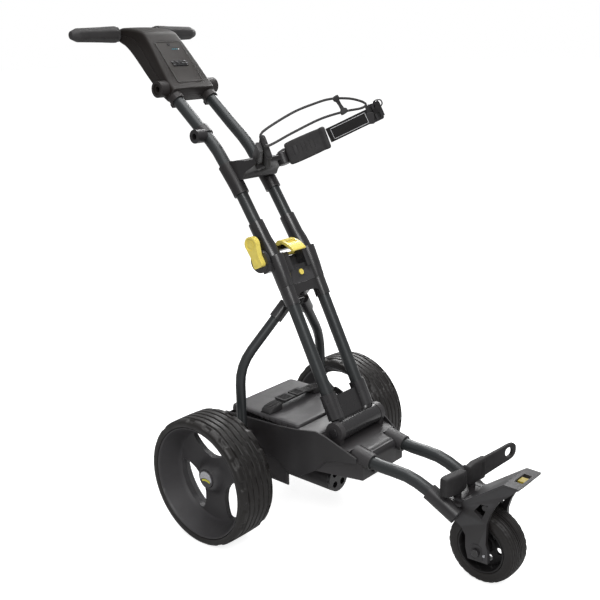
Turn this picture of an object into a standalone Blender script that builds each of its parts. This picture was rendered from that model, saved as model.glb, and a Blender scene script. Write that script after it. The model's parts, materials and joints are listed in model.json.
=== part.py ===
"""Electric golf trolley: three wheels, folding two-tube frame, battery and worm drive.

Metres, +Z up. -Y is forward, +X is the operator's left.
Everything is laid out from the ground under the middle of the rear axle. The last
step slides the whole trolley back so that the origin is under its middle.
"""
import math

import bmesh
import bpy
import numpy as np
from mathutils import Vector


def vec(x, y, z):
    return Vector((x, y, z))


# ---------------------------------------------------------------- driving dimensions
LEFT, RIGHT = 1, -1                       # signs of X
SIDES = (("left", LEFT), ("right", RIGHT))
X_AXIS = vec(1, 0, 0)
Z_AXIS = vec(0, 0, 1)
SEGMENTS = 10                             # sides of a round bar unless it says otherwise
MERGE_DISTANCE = 0.000002
FOOTPRINT_SHIFT = 0.08625                 # rear axle to the middle of the footprint, along Y

# wheels and rear axle
REAR_RADIUS = 0.145
REAR_WIDTH = 0.0957
REAR_OUTER_X = 0.2878                     # outer face of a rear wheel
FRONT_RADIUS = 0.0767
FRONT_WIDTH = 0.0633
WHEELBASE = 0.5534
REAR_HUB = vec(0, 0, REAR_RADIUS)
FRONT_HUB = vec(0, -WHEELBASE, FRONT_RADIUS)
AXLE_RADIUS = 0.006

# frame tubes
TUBE_RADIUS = 0.0138
TUBE_WALL = 0.0018
TUBE_X = 0.0515                           # half the spacing of the main tubes
BORE_RADIUS = 0.0142                      # sleeve bore round a main tube
LOWER_POINT = vec(0, -0.180, 0.3215)      # a point on the lower tubes' line
LOWER_DIR = vec(0, 0.4477, 0.8942)        # their direction, upwards
LOWER_AHEAD = vec(0, -LOWER_DIR.z, LOWER_DIR.y)   # square to the tubes, forwards
LOWER_START, LOWER_END = -0.0510, 0.3000  # tube ends, along the line
# upper tubes, bottom to top: (y, z)
UPPER_LINE = [
    (-0.0147, 0.6280), (0.020, 0.681), (0.056, 0.736), (0.0835, 0.7735), (0.1105, 0.807),
    (0.129, 0.8305), (0.150, 0.8515), (0.190, 0.8845), (0.2585, 0.9430)]

# base hinge, its axis along X
BARREL = vec(0, -0.218, 0.252)
PIN_RADIUS = 0.0060
PIN_HOLE_RADIUS = 0.0064

# mid fold, its axis along X
FOLD = vec(0, -0.0185, 0.6035)
SEAM_NORMAL = vec(0, 0.4924, 0.8704).normalized()
SEAM_AHEAD = vec(0, -SEAM_NORMAL.z, SEAM_NORMAL.y)
SEAM_GAP = 0.0002                         # from the seam to each block
LOWER_REAR_ANGLE = 249.2                  # side-view angles of the planes that the
UPPER_REAR_ANGLE = 35.9                   # folded blocks meet on
KNUCKLE_RADIUS = 0.0092
LOWER_KNUCKLES = [(0.0440, 0.0590)]       # (inner x, outer x) on each side
UPPER_KNUCKLES = [(0.0310, 0.0436), (0.0594, 0.0722)]

# name: (base colour, roughness, metallic)
MATERIALS = {
    "metal": ((0.045, 0.048, 0.05), 0.42, 0.6),
    "plastic": ((0.02, 0.019, 0.02), 0.38, 0.0),
    "rim": ((0.05, 0.05, 0.052), 0.5, 0.0),
    "tyre": ((0.017, 0.016, 0.016), 0.62, 0.0),
    "rubber": ((0.02, 0.02, 0.021), 0.75, 0.0),
    "yellow": ((0.75, 0.62, 0.06), 0.4, 0.0),
    "silver": ((0.62, 0.62, 0.63), 0.3, 0.9),
    "steel": ((0.4, 0.4, 0.41), 0.35, 1.0),
    "battery": ((0.045, 0.044, 0.046), 0.55, 0.0),
    "webbing": ((0.015, 0.015, 0.015), 0.9, 0.0),
    "brass": ((0.6, 0.42, 0.15), 0.35, 1.0),
    "panel": ((0.025, 0.024, 0.026), 0.3, 0.0),
}


# ---------------------------------------------------------------- solids and parts
def solid(bm):
    """An object from a bmesh. Warped faces are split into triangles."""
    bm.normal_update()
    warped = [face for face in bm.faces if len(face.verts) > 3
              and max(abs((vert.co - face.verts[0].co).dot(face.normal))
                      for vert in face.verts) > 1e-6]
    bmesh.ops.triangulate(bm, faces=warped)
    bmesh.ops.recalc_face_normals(bm, faces=bm.faces)
    mesh = bpy.data.meshes.new("tool")
    bm.to_mesh(mesh)
    bm.free()
    ob = bpy.data.objects.new("tool", mesh)
    bpy.context.scene.collection.objects.link(ob)
    return ob


def boolean(target, operation, tools):
    """Apply the tools to the target in order, and remove them."""
    for tool in tools:
        modifier = target.modifiers.new("boolean", "BOOLEAN")
        modifier.operation = operation
        modifier.solver = "EXACT"
        modifier.object = tool
    depsgraph = bpy.context.evaluated_depsgraph_get()
    depsgraph.update()
    result = bpy.data.meshes.new_from_object(target.evaluated_get(depsgraph))
    target.modifiers.clear()
    old = target.data
    target.data = result
    bpy.data.meshes.remove(old)
    for tool in tools:
        mesh = tool.data
        bpy.data.objects.remove(tool, do_unlink=True)
        bpy.data.meshes.remove(mesh)
    return target


def union(target, *tools):
    return boolean(target, "UNION", tools)


def cut(target, *tools):
    return boolean(target, "DIFFERENCE", tools)


def part_material(name, kind):
    color, roughness, metallic = MATERIALS[kind]
    material = bpy.data.materials.new(name + "_mat")
    material.use_nodes = True
    shader = material.node_tree.nodes["Principled BSDF"]
    shader.inputs["Base Color"].default_value = (*color, 1)
    shader.inputs["Roughness"].default_value = roughness
    shader.inputs["Metallic"].default_value = metallic
    material.diffuse_color = (*color, 1)
    return material


def part(ob, name, kind, pivot=None):
    """Clean and name a solid, give it a material and put its origin on its pivot."""
    bm = bmesh.new()
    bm.from_mesh(ob.data)
    bmesh.ops.remove_doubles(bm, verts=bm.verts, dist=MERGE_DISTANCE)
    bmesh.ops.dissolve_degenerate(bm, edges=bm.edges, dist=MERGE_DISTANCE)
    bmesh.ops.recalc_face_normals(bm, faces=bm.faces)
    if pivot is not None:
        bmesh.ops.translate(bm, verts=bm.verts, vec=-pivot)
        ob.location = pivot
    bm.to_mesh(ob.data)
    bm.free()
    ob.name = name
    ob.data.name = name
    ob.data.materials.clear()
    ob.data.materials.append(part_material(name, kind))


# ---------------------------------------------------------------- spans and outlines
def wide(half):
    """A span centred on the middle plane."""
    return (-half, half)


def span(side, inner, outer):
    """An X span on one side, lowest value first."""
    return tuple(sorted((side * inner, side * outer)))


def mirror(half):
    """An outline followed by its mirror image, walked back; the first column changes sign."""
    return half + [(-first, *rest) for first, *rest in reversed(half)]


def yz(points):
    return [(p.y, p.z) for p in points]


def flat_section(centre, first, second):
    """Four corners round a centre, from two half-size vectors."""
    return [centre - first - second, centre - first + second,
            centre + first + second, centre + first - second]


def neighbours(items, k):
    """The items before and after item k, or the item itself at an end."""
    return items[max(k - 1, 0)], items[min(k + 1, len(items) - 1)]


# ---------------------------------------------------------------- shapes
def box(x_span, y_span, z_span, bevel=0.0):
    bm = bmesh.new()
    bmesh.ops.create_cube(bm, size=1)
    for vert in bm.verts:
        x, y, z = vert.co
        vert.co = vec(x_span[x > 0], y_span[y > 0], z_span[z > 0])
    if bevel:
        bmesh.ops.bevel(bm, geom=bm.edges[:], offset=bevel, segments=1, affect="EDGES",
                        profile=0.5)
    return solid(bm)


def basis(direction):
    """Two unit vectors square to a direction; the first lies near X or Z."""
    direction = direction.normalized()
    near = X_AXIS if abs(direction.x) < 0.9 else Z_AXIS
    first = (near - direction * near.dot(direction)).normalized()
    return first, direction.cross(first)


def ring(centre, first, second, radius, count=SEGMENTS, second_radius=None):
    second_radius = radius if second_radius is None else second_radius
    angles = [2 * math.pi * (i + 0.5) / count for i in range(count)]
    return [centre + first * (radius * math.cos(angle))
            + second * (second_radius * math.sin(angle)) for angle in angles]


def loft(rings, closed=False):
    """Skin rings of equal length into a solid, capped at the ends unless closed."""
    bm = bmesh.new()
    rows = [[bm.verts.new(p) for p in points] for points in rings]
    count = len(rings[0])
    for k in range(len(rows) if closed else len(rows) - 1):
        row, following = rows[k], rows[(k + 1) % len(rows)]
        for i in range(count):
            j = (i + 1) % count
            bm.faces.new((row[i], row[j], following[j], following[i]))
    if not closed:
        bm.faces.new(list(reversed(rows[0])))
        bm.faces.new(rows[-1])
    return solid(bm)


def rod(start, end, radius, count=SEGMENTS, end_radius=None):
    first, second = basis(end - start)
    end_radius = radius if end_radius is None else end_radius
    return loft([ring(start, first, second, radius, count),
                 ring(end, first, second, end_radius, count)])


def cross_rod(centre, x0, x1, radius, count=SEGMENTS, end_radius=None):
    """A rod along X at the height and depth of a centre."""
    return rod(vec(x0, centre.y, centre.z), vec(x1, centre.y, centre.z), radius, count,
               end_radius)


def long_rod(centre, y0, y1, radius, count):
    """A rod along Y through a centre."""
    return rod(vec(centre.x, y0, centre.z), vec(centre.x, y1, centre.z), radius, count)


def upright_rod(centre, z0, z1, radius, count):
    return rod(vec(centre.x, centre.y, z0), vec(centre.x, centre.y, z1), radius, count)


def frames(points, closed=False):
    """Ring centres with side vectors carried along the path without twist."""
    result = []
    previous = None
    for i, p in enumerate(points):
        if closed:
            direction = points[(i + 1) % len(points)] - points[i - 1]
        else:
            before, after = neighbours(points, i)
            direction = after - before
        direction = direction.normalized()
        if previous is None:
            first, _ = basis(direction)
        else:
            first = (previous - direction * previous.dot(direction)).normalized()
        previous = first
        result.append((p, first, direction.cross(first)))
    return result


def sweep(points, radius, count=SEGMENTS, closed=False):
    return loft([ring(*frame, radius, count) for frame in frames(points, closed)], closed)


def pipe(points, radius, wall):
    """A hollow tube along a path: outer and inner skins joined at both ends."""
    path = frames(points)
    outer = [ring(*frame, radius) for frame in path]
    inner = [ring(*frame, radius - wall) for frame in path]
    return loft(outer + inner[::-1], closed=True)


def prism(outline, x_span):
    """A side-view outline of (y, z) points, extruded along X."""
    return loft([[vec(x, y, z) for y, z in outline] for x in x_span])


def turned(outline, centre, count, axis="X"):
    """A closed (along, radius) outline spun round an axis through a centre."""
    rings = []
    for k in range(count):
        angle = 2 * math.pi * k / count
        c, s = math.cos(angle), math.sin(angle)
        if axis == "X":
            rings.append([centre + vec(along, r * c, r * s) for along, r in outline])
        else:
            rings.append([centre + vec(r * s, along, r * c) for along, r in outline])
    return loft(rings, closed=True)


def rounded_corner(start, corner, end, radius, steps=4):
    """A path of three points with a curve in place of the middle one."""
    entry = corner + (start - corner).normalized() * radius
    leave = corner + (end - corner).normalized() * radius
    path = [start]
    for step in range(steps + 1):
        t = step / steps
        path.append(entry * (1 - t) ** 2 + corner * 2 * t * (1 - t) + leave * t * t)
    return path + [end]


def lower_at(along, ahead=0.0, x=0.0):
    """A point measured along the lower tubes' line and forwards from it."""
    return vec(x, 0, 0) + LOWER_POINT + LOWER_DIR * along + LOWER_AHEAD * ahead


def lower_rod(start, end, x, radius, end_radius=None):
    return rod(lower_at(start, 0, x), lower_at(end, 0, x), radius, SEGMENTS, end_radius)


def upper_path(side):
    return [vec(side * TUBE_X, y, z) for y, z in UPPER_LINE]


# ================================================================= chassis
WELL_HALF = 0.1085        # half width of the battery well, and of the deck's rear
BAY_HALF = 0.1045         # half width of the motor bay
BAY_ROOF = 0.1585
PLATFORM_FRONT = -0.2915  # y of the platform's front edge, and of the deck's
STAY_PIVOT = vec(0, 0, 0.205)
COLLAR_X = 0.059          # front tube collars
# front tube, rear to front: (x, y, z)
FRONT_TUBE_LINE = [
    (0.059, -0.2665, 0.2110), (0.059, -0.3000, 0.2040), (0.059, -0.3300, 0.2012),
    (0.0588, -0.3630, 0.2010), (0.0583, -0.3950, 0.1995), (0.0577, -0.4200, 0.1935),
    (0.0570, -0.4470, 0.1830), (0.056, -0.4900, 0.1590)]


def front_tube_path(side):
    return [vec(side * x, y, z) for x, y, z in FRONT_TUBE_LINE]


def build_tray():
    """Rear tub, battery well above and motor bay below, with a tapering front platform."""
    tub = box(wide(0.112), (-0.140, 0.078), (0.105, 0.236), bevel=0.004)
    low, high = 0.160, 0.200
    platform = loft([[vec(-half, y, low), vec(half, y, low), vec(half, y, high),
                      vec(-half, y, high)]
                     for y, half in ((-0.139, 0.1100), (PLATFORM_FRONT, 0.0725))])
    tray = cut(union(tub, platform),
               box(wide(WELL_HALF), (-0.1350, 0.0745), (0.1675, 0.30)),
               box(wide(BAY_HALF), (-0.30, 0.0705), (0.05, BAY_ROOF)),
               # open the bay at the front, and raise its roof over the axle
               box(wide(0.2), (-0.31, -0.108), (0.05, BAY_ROOF)),
               box(wide(BAY_HALF), (-0.030, 0.0705), (0.05, 0.1645)),
               cross_rod(REAR_HUB, -0.2, 0.2, 0.0125, 16))
    collars, bores = [], []
    for side in (LEFT, RIGHT):
        x = side * COLLAR_X
        collars.append(rod(vec(x, -0.262, 0.2120), vec(x, -0.3075, 0.2030), 0.0185))
        collars.append(box((x - 0.012, x + 0.012), (-0.288, -0.262), (0.17, 0.20)))
        bores.append(rod(vec(x, -0.2655, 0.2113), vec(x, -0.3175, 0.2003),
                         BORE_RADIUS + 0.0006))
    part(cut(union(tray, *collars), *bores), "chassis_tray", "plastic")


# deck sections, rear to front: (lower y, lower z, upper y, upper z)
DECK_LINE = [
    (-0.1425, 0.2470, -0.1425, 0.2515), (-0.1890, 0.2470, -0.1870, 0.2515),
    (-0.1955, 0.2440, -0.1925, 0.2485), (-0.2040, 0.2230, -0.2000, 0.2275),
    (-0.2450, 0.2215, -0.2450, 0.2260), (PLATFORM_FRONT, 0.2110, PLATFORM_FRONT, 0.2155)]
DECK_FRONT_HALF = 0.0735
DECK_TAPER_Y = -0.15      # the deck narrows in front of this


def deck_half(y):
    if y > DECK_TAPER_Y:
        return WELL_HALF
    share = (DECK_TAPER_Y - y) / (DECK_TAPER_Y - PLATFORM_FRONT)
    return WELL_HALF - (WELL_HALF - DECK_FRONT_HALF) * share


def build_deck():
    """A bent cover in front of the battery that carries the base hinge lugs."""
    deck = loft([[vec(-deck_half(y0), y0, z0), vec(deck_half(y0), y0, z0),
                  vec(deck_half(y1), y1, z1), vec(-deck_half(y1), y1, z1)]
                 for y0, z0, y1, z1 in DECK_LINE])
    lug_inner, lug_outer, lug_radius = 0.0640, 0.0780, 0.0225
    lugs, cuts = [], []
    for side in (LEFT, RIGHT):
        lugs.append(cross_rod(BARREL, side * lug_inner, side * lug_outer, lug_radius, 20))
        lugs.append(box(span(side, lug_inner, lug_outer), (-0.2347, -0.2043),
                        (0.2163, 0.2497)))
        cuts.append(cross_rod(BARREL, side * 0.055, side * 0.09, PIN_HOLE_RADIUS, 12))
        # notch over a front tube collar
        cuts.append(box(span(side, 0.0395, 0.09), (-0.32, -0.2605), (0.19, 0.24)))
    part(cut(union(deck, *lugs), *cuts), "chassis_deck", "plastic")


def build_base_pin():
    pin = union(cross_rod(BARREL, -0.0785, 0.0785, PIN_RADIUS, 12),
                cross_rod(BARREL, -0.0815, -0.0783, 0.0105, 12))
    part(pin, "base_hinge_pin", "steel", BARREL)


PANEL_X = 0.1128          # inner face of a side panel beside the tub
PANEL_THICKNESS = 0.0042
# rear to front: (y, inner x, top z, bottom z)
SIDE_PANEL = [
    (0.078, PANEL_X, 0.240, 0.166), (-0.085, PANEL_X, 0.2480, 0.166),
    (-0.1115, PANEL_X, 0.2505, 0.1455), (-0.142, PANEL_X + 0.0005, 0.2535, 0.1390),
    (-0.187, 0.1010, 0.2570, 0.1640), (-0.2096, 0.0952, 0.2490, 0.1895),
    (-0.240, 0.0880, 0.2330, 0.1970), (-0.2805, 0.0784, 0.2120, 0.1990)]


def build_side_panel(name, side):
    """An outside cover that closes in towards the front, with the stay pivot stud."""
    rings = []
    for y, x, top, bottom in SIDE_PANEL:
        outer_x = x + PANEL_THICKNESS
        rings.append([vec(side * x, y, bottom), vec(side * x, y, top),
                      vec(side * outer_x, y, top - 0.001), vec(side * outer_x, y, bottom)])
    boss = cross_rod(STAY_PIVOT, side * (PANEL_X + 0.002), side * 0.1255, 0.0115, 12)
    stud = cross_rod(STAY_PIVOT, side * 0.118, side * 0.1530, 0.0045, 10)
    part(union(loft(rings), boss, stud), "side_panel_" + name, "plastic")


def build_front_tube(name, side):
    part(pipe(front_tube_path(side), TUBE_RADIUS, TUBE_WALL), "front_tube_" + name, "metal")


def build_chassis():
    build_tray()
    build_deck()
    build_base_pin()
    for name, side in SIDES:
        build_side_panel(name, side)
        build_front_tube(name, side)


# ================================================================= front fork
# side views, (y, z)
FORK_ARM = [
    (-0.5181, 0.1745), (-0.6085, 0.2436), (-0.6385, 0.2430), (-0.6376, 0.2395),
    (-0.6217, 0.2233), (-0.5988, 0.2019), (-0.5891, 0.1848), (-0.5811, 0.1681),
    (-0.5749, 0.1467), (-0.5740, 0.1005), (-0.5790, 0.0850), (-0.5800, 0.0590),
    (-0.5350, 0.0560), (-0.5285, 0.0795), (-0.5276, 0.1062), (-0.5179, 0.1207),
    (-0.4800, 0.1430), (-0.4900, 0.1760)]
FORK_SHELF = [(-0.5140, 0.1745), (-0.5200, 0.1700), (-0.6090, 0.2385),
              (-0.6385, 0.2385), (-0.6395, 0.2430), (-0.6080, 0.2436)]
FORK_CROSS = [(-0.4780, 0.1620), (-0.5195, 0.1692), (-0.5148, 0.1738), (-0.4820, 0.1760)]
FORK_WINDOW = [(-0.5450, 0.1655), (-0.5590, 0.1850), (-0.5760, 0.1870),
               (-0.5700, 0.1700), (-0.5630, 0.1530), (-0.5545, 0.1600)]
EAR_BOTTOM = 0.1700       # z of the underside of the cradle ears and pegs


def cradle_pivot(side):
    return vec(side * 0.0270, -0.4960, 0.1905)


def build_fork():
    """Side plates and tube sleeves, inclined shelf with a flat lip, and cradle pegs."""
    sides, bores, pegs = [], [], []
    for side in (LEFT, RIGHT):
        sides.append(prism(FORK_ARM, span(side, 0.0365, 0.0455)))
        sides.append(rod(vec(side * 0.0577, -0.4490, 0.1822),
                         vec(side * 0.0545, -0.5130, 0.1462), 0.0178))
        start, end = front_tube_path(side)[-2:]
        along = (end - start).normalized()
        bores.append(rod(start - along * 0.0120, end + along * 0.0060,
                         BORE_RADIUS + 0.0004))
        pivot = cradle_pivot(side)
        pegs.append(upright_rod(pivot, EAR_BOTTOM, 0.1795, 0.0085, 12))
        pegs.append(upright_rod(pivot, EAR_BOTTOM, 0.2120, 0.0035, 8))
    fork = union(*sides, prism(FORK_SHELF, wide(0.0460)), prism(FORK_CROSS, wide(0.0550)))
    fork = cut(fork,
               prism(FORK_WINDOW, wide(0.07)),
               box(wide(0.020), (-0.6335, -0.6160), (0.20, 0.26)),
               cross_rod(FRONT_HUB, -0.07, 0.07, 0.0052, 12),
               *bores)
    part(union(fork, *pegs), "front_fork", "plastic")


def build_shelf_key():
    """Yellow insert in the slot of the fork's lip."""
    key = union(box((-0.0090, 0.0110), (-0.6328, -0.6167), (0.2340, 0.2412), bevel=0.001),
                box(wide(0.0197), (-0.6331, -0.6164), (0.2315, 0.2350)))
    part(key, "shelf_key", "yellow")


def build_front_bolt():
    half_length, inner = 0.0520, 0.0460
    bolt = union(cross_rod(FRONT_HUB, -half_length, half_length, 0.0048, 12),
                 cross_rod(FRONT_HUB, -half_length, -inner, 0.0080, 12),    # head
                 cross_rod(FRONT_HUB, inner, half_length, 0.0085, 6))       # nut
    part(bolt, "front_axle_bolt", "steel")


# sections, inside to outside: (x, y, z, half height, half thickness)
CRADLE_SECTIONS = {
    "left": [
        (0.0060, -0.4965, 0.2060, 0.0200, 0.0080), (0.0270, -0.4985, 0.2080, 0.0225, 0.0090),
        (0.0500, -0.5090, 0.2140, 0.0230, 0.0080), (0.0540, -0.5110, 0.2155, 0.0205, 0.0050),
        (0.0850, -0.5270, 0.2290, 0.0190, 0.0045), (0.1080, -0.5370, 0.2375, 0.0180, 0.0042),
        (0.1160, -0.5400, 0.2400, 0.0110, 0.0040)],
    "right": [
        (0.0060, -0.4965, 0.2060, 0.0195, 0.0090), (0.0220, -0.4980, 0.2070, 0.0215, 0.0110),
        (0.0620, -0.4955, 0.2105, 0.0215, 0.0115), (0.0780, -0.4925, 0.2115, 0.0190, 0.0090)],
}


def cradle_oval():
    """The oval hole near the end of the left arm."""
    centre = vec(0.1010, -0.5338, 0.2352)
    along = vec(0.0230, -0.0100, 0).normalized()
    across = vec(along.y, -along.x, 0)
    return loft([ring(centre + across * offset, along, Z_AXIS, 0.0078, 10, 0.0095)
                 for offset in wide(0.012)])


def build_cradle_arm(name, side):
    """The left arm ends in a strap with a hole; the right one is a short thick block."""
    sections = CRADLE_SECTIONS[name]
    rings = []
    for k, (x, y, z, half_height, half_thickness) in enumerate(sections):
        before, after = neighbours(sections, k)
        along = vec(side * (after[0] - before[0]), after[1] - before[1], 0).normalized()
        rings.append(flat_section(vec(side * x, y, z), Z_AXIS * half_height,
                                  vec(along.y, -along.x, 0) * half_thickness))
    arm = loft(rings)
    if side == LEFT:
        arm = cut(arm, cradle_oval())
    pivot = cradle_pivot(side)
    arm = union(arm, upright_rod(pivot, 0.1800, 0.2110, 0.0082, 12))
    arm = cut(arm, upright_rod(pivot, 0.17, 0.2170, 0.0039, 8))
    part(arm, "cradle_arm_" + name, "rubber", pivot)


def build_front_fork():
    build_fork()
    build_shelf_key()
    build_front_bolt()
    for name, side in SIDES:
        build_cradle_arm(name, side)


# ================================================================= motor and drive
MOTOR_X, MOTOR_Z = -0.038, 0.124
MOTOR_AXIS = vec(MOTOR_X, 0, MOTOR_Z)     # the motor lies along Y
MOTOR_RADIUS = 0.0325
MOTOR_FRONT = -0.197                      # y of the motor's front end
GEAR_TEETH = 30                           # worm wheel teeth, driven by a one-start worm
GEAR_MODULE = 0.001
WORM_PITCH_RADIUS = 0.0060
WORM_TURNS = 4
WORM_STEPS = 8                            # rings per turn
ROTOR_SIDES = 12
SHAFT_RADIUS = 0.0040


def build_motor_can():
    start, end, inner = MOTOR_FRONT + 0.008, -0.0330, 0.0300
    outline = [(start, inner), (start, MOTOR_RADIUS), (end, MOTOR_RADIUS), (end, inner)]
    part(turned(outline, MOTOR_AXIS, 20, "Y"), "motor_can", "metal")


def build_motor_cap():
    """End cap with a spigot inside the can and four round vents."""
    cap = union(long_rod(MOTOR_AXIS, MOTOR_FRONT, MOTOR_FRONT + 0.0077,
                         MOTOR_RADIUS - 0.0005, 20),
                long_rod(MOTOR_AXIS, MOTOR_FRONT + 0.007, MOTOR_FRONT + 0.012, 0.0294, 20))
    vent_circle = 0.018
    vents = []
    for k in range(4):
        angle = math.pi / 4 + k * math.pi / 2
        centre = vec(MOTOR_X + vent_circle * math.cos(angle), 0,
                     MOTOR_Z + vent_circle * math.sin(angle))
        vents.append(long_rod(centre, MOTOR_FRONT - 0.01, MOTOR_FRONT + 0.02, 0.0075, 8))
    part(cut(cap, *vents), "motor_end_cap", "plastic")


def build_gearbox():
    """Housing round over worm wheel and worm, with a flange and bores for both shafts."""
    x0, x1 = MOTOR_X - 0.0125, MOTOR_X + 0.0125
    radius, wall = 0.0190, 0.0045
    housing = union(cross_rod(REAR_HUB, x0, x1, radius, 18),
                    box((x0, x1), wide(radius), (0.112, 0.1445)),
                    long_rod(MOTOR_AXIS, -0.0290, radius, 0.0122, 12),
                    long_rod(MOTOR_AXIS, -0.0325, -0.0200, 0.0315, 18))
    housing = cut(housing,
                  cross_rod(REAR_HUB, x0 + wall, x1 - wall, 0.0168, 18),
                  long_rod(MOTOR_AXIS, -0.0180, 0.0145, 0.0078, 14),
                  cross_rod(REAR_HUB, -0.2, 0.2, AXLE_RADIUS + 0.0006, 12),
                  long_rod(MOTOR_AXIS, -0.05, -0.01, 0.0046, 12))
    part(housing, "gearbox_housing", "steel")


def build_worm_wheel():
    pitch_radius = GEAR_TEETH * GEAR_MODULE / 2
    root, tip = pitch_radius - 1.15 * GEAR_MODULE, pitch_radius + 0.85 * GEAR_MODULE
    tooth = ((-0.25, root), (-0.13, tip), (0.13, tip), (0.25, root))  # (tooth pitches, radius)
    step = 2 * math.pi / GEAR_TEETH
    outline = []
    for k in range(GEAR_TEETH):
        middle = -math.pi / 2 + 2 * math.pi * k / GEAR_TEETH
        for share, radius in tooth:
            angle = middle + share * step
            outline.append((radius * math.cos(angle), REAR_RADIUS + radius * math.sin(angle)))
    wheel = union(prism(outline, (MOTOR_X - 0.0028, MOTOR_X + 0.0028)),
                  cross_rod(REAR_HUB, MOTOR_X - 0.0070, MOTOR_X + 0.0070, 0.0105, 12))
    wheel = cut(wheel, cross_rod(REAR_HUB, MOTOR_X - 0.02, MOTOR_X + 0.02,
                                 AXLE_RADIUS + 0.0003, 12))
    part(wheel, "worm_wheel", "brass", REAR_HUB)


def build_axle():
    part(cross_rod(REAR_HUB, -0.2545, 0.2545, AXLE_RADIUS, 12), "drive_axle", "steel",
         REAR_HUB)


WORM_PITCH = math.pi * GEAR_MODULE
WORM_ROOT = WORM_PITCH_RADIUS - 1.15 * GEAR_MODULE
WORM_TIP = WORM_PITCH_RADIUS + 0.80 * GEAR_MODULE


def worm_radius(y, angle):
    flank_start, flank_end = 0.11, 0.26   # from the middle of the thread, in pitches
    phase = (y / WORM_PITCH - angle / (2 * math.pi)) % 1.0
    distance = abs(phase - 0.5)
    if distance < flank_start:
        return WORM_TIP
    if distance > flank_end:
        return WORM_ROOT
    share = (distance - flank_start) / (flank_end - flank_start)
    return WORM_TIP + (WORM_ROOT - WORM_TIP) * share


def rotor_ring(y, radius=None):
    """A ring round the motor axis; without a radius it follows the worm thread."""
    points = []
    for k in range(ROTOR_SIDES):
        angle = 2 * math.pi * k / ROTOR_SIDES
        reach = worm_radius(y, angle) if radius is None else radius
        points.append(vec(MOTOR_X + reach * math.sin(angle), y,
                          MOTOR_Z + reach * math.cos(angle)))
    return points


def build_rotor():
    """Armature, shaft and worm, as one turning piece."""
    worm_start = -WORM_TURNS / 2 * WORM_PITCH
    armature_start, armature_end, armature_radius = MOTOR_FRONT + 0.030, -0.050, 0.0200
    rings = [rotor_ring(y, radius) for y, radius in (
        (MOTOR_FRONT + 0.016, SHAFT_RADIUS), (armature_start, SHAFT_RADIUS),
        (armature_start, armature_radius), (armature_end, armature_radius),
        (armature_end, SHAFT_RADIUS), (worm_start - 0.0020, SHAFT_RADIUS))]
    last = WORM_TURNS * WORM_STEPS
    for k in range(last + 1):
        y = worm_start + k * WORM_PITCH / WORM_STEPS
        rings.append(rotor_ring(y, WORM_ROOT if k in (0, last) else None))
    rings.append(rotor_ring(-worm_start + 0.0030, SHAFT_RADIUS))
    part(loft(rings), "motor_rotor", "steel", MOTOR_AXIS)


def build_drive():
    build_motor_can()
    build_motor_cap()
    build_gearbox()
    build_worm_wheel()
    build_axle()
    build_rotor()


# ================================================================= wheels
# Rear rim section: (distance from the middle, radius). A bowl open outwards, a flat
# spider, a raised hub, and the barrel inwards.
REAR_RIM = [
    (0.2850, 0.1275), (0.2850, 0.1240), (0.2330, 0.1085), (0.2316, 0.1050),
    (0.2330, 0.0480), (0.2500, 0.0300), (0.2552, 0.0215), (0.2552, 0.0210),
    (0.2500, 0.0210), (0.2500, AXLE_RADIUS + 0.0006), (0.2060, AXLE_RADIUS + 0.0006),
    (0.2060, 0.0200), (0.2185, 0.0330), (0.2200, 0.1040), (0.2130, 0.1130),
    (0.1945, 0.1235), (0.1945, 0.1275), (0.2000, 0.1275), (0.2135, 0.1168),
    (0.2330, 0.1125), (0.2740, 0.1240), (0.2790, 0.1275)]
# spider window: (degrees from its middle, radius)
RIM_WINDOW = mirror([(-8, 0.0445), (-29, 0.0580), (-36.5, 0.0850), (-36, 0.1000),
                     (-20, 0.1035)])


def tyre_outline(width, radius, bead, edge, shoulder_x, shoulder):
    """bead is a radius; edge and shoulder are shares of the radius, shoulder_x of the
    half width."""
    half = width / 2
    return mirror([(-half, bead), (-half, radius * edge),
                   (-half * shoulder_x, radius * shoulder), (-half * 0.30, radius)])


def build_rear_tyre(name, side):
    middle = side * (REAR_OUTER_X - REAR_WIDTH / 2)
    outline = tyre_outline(REAR_WIDTH, REAR_RADIUS, bead=0.1280, edge=0.958,
                           shoulder_x=0.78, shoulder=0.992)
    part(turned(outline, vec(middle, 0, REAR_RADIUS), 28), "rear_tyre_" + name, "tyre",
         REAR_HUB)


def build_rear_rim(name, side):
    rim = turned([(side * x, radius) for x, radius in REAR_RIM], REAR_HUB, 28)
    windows = []
    for k in range(3):
        middle = math.radians(90 + 120 * k)
        outline = []
        for degrees, radius in RIM_WINDOW:
            angle = middle + math.radians(degrees)
            outline.append((radius * math.cos(angle), REAR_RADIUS + radius * math.sin(angle)))
        windows.append(prism(outline, span(side, 0.19, 0.27)))
    part(cut(rim, *windows), "rear_rim_" + name, "rim", REAR_HUB)


def build_hub_cap(name, side):
    cap = cut(cross_rod(REAR_HUB, side * 0.2505, side * 0.2585, 0.0205, 16, 0.0190),
              cross_rod(REAR_HUB, side * 0.2450, side * 0.2560, AXLE_RADIUS + 0.0015, 12))
    part(cap, "hub_cap_" + name, "silver", REAR_HUB)


def build_front_wheel():
    outline = tyre_outline(FRONT_WIDTH, FRONT_RADIUS, bead=0.0520, edge=0.90,
                           shoulder_x=0.75, shoulder=0.975)
    part(turned(outline, FRONT_HUB, 24), "front_tyre", "tyre", FRONT_HUB)
    rim_half = FRONT_WIDTH / 2 * 0.93
    web_half, hub_half = 0.0035, 0.0352
    rim = mirror([(-rim_half, 0.0515), (-rim_half, 0.0475), (-web_half, 0.0440),
                  (-web_half, 0.0140), (-hub_half, 0.0110), (-hub_half, 0.0053)])
    part(turned(rim, FRONT_HUB, 24), "front_rim", "rim", FRONT_HUB)


def build_wheels():
    for name, side in SIDES:
        build_rear_tyre(name, side)
        build_rear_rim(name, side)
        build_hub_cap(name, side)
    build_front_wheel()


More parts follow.
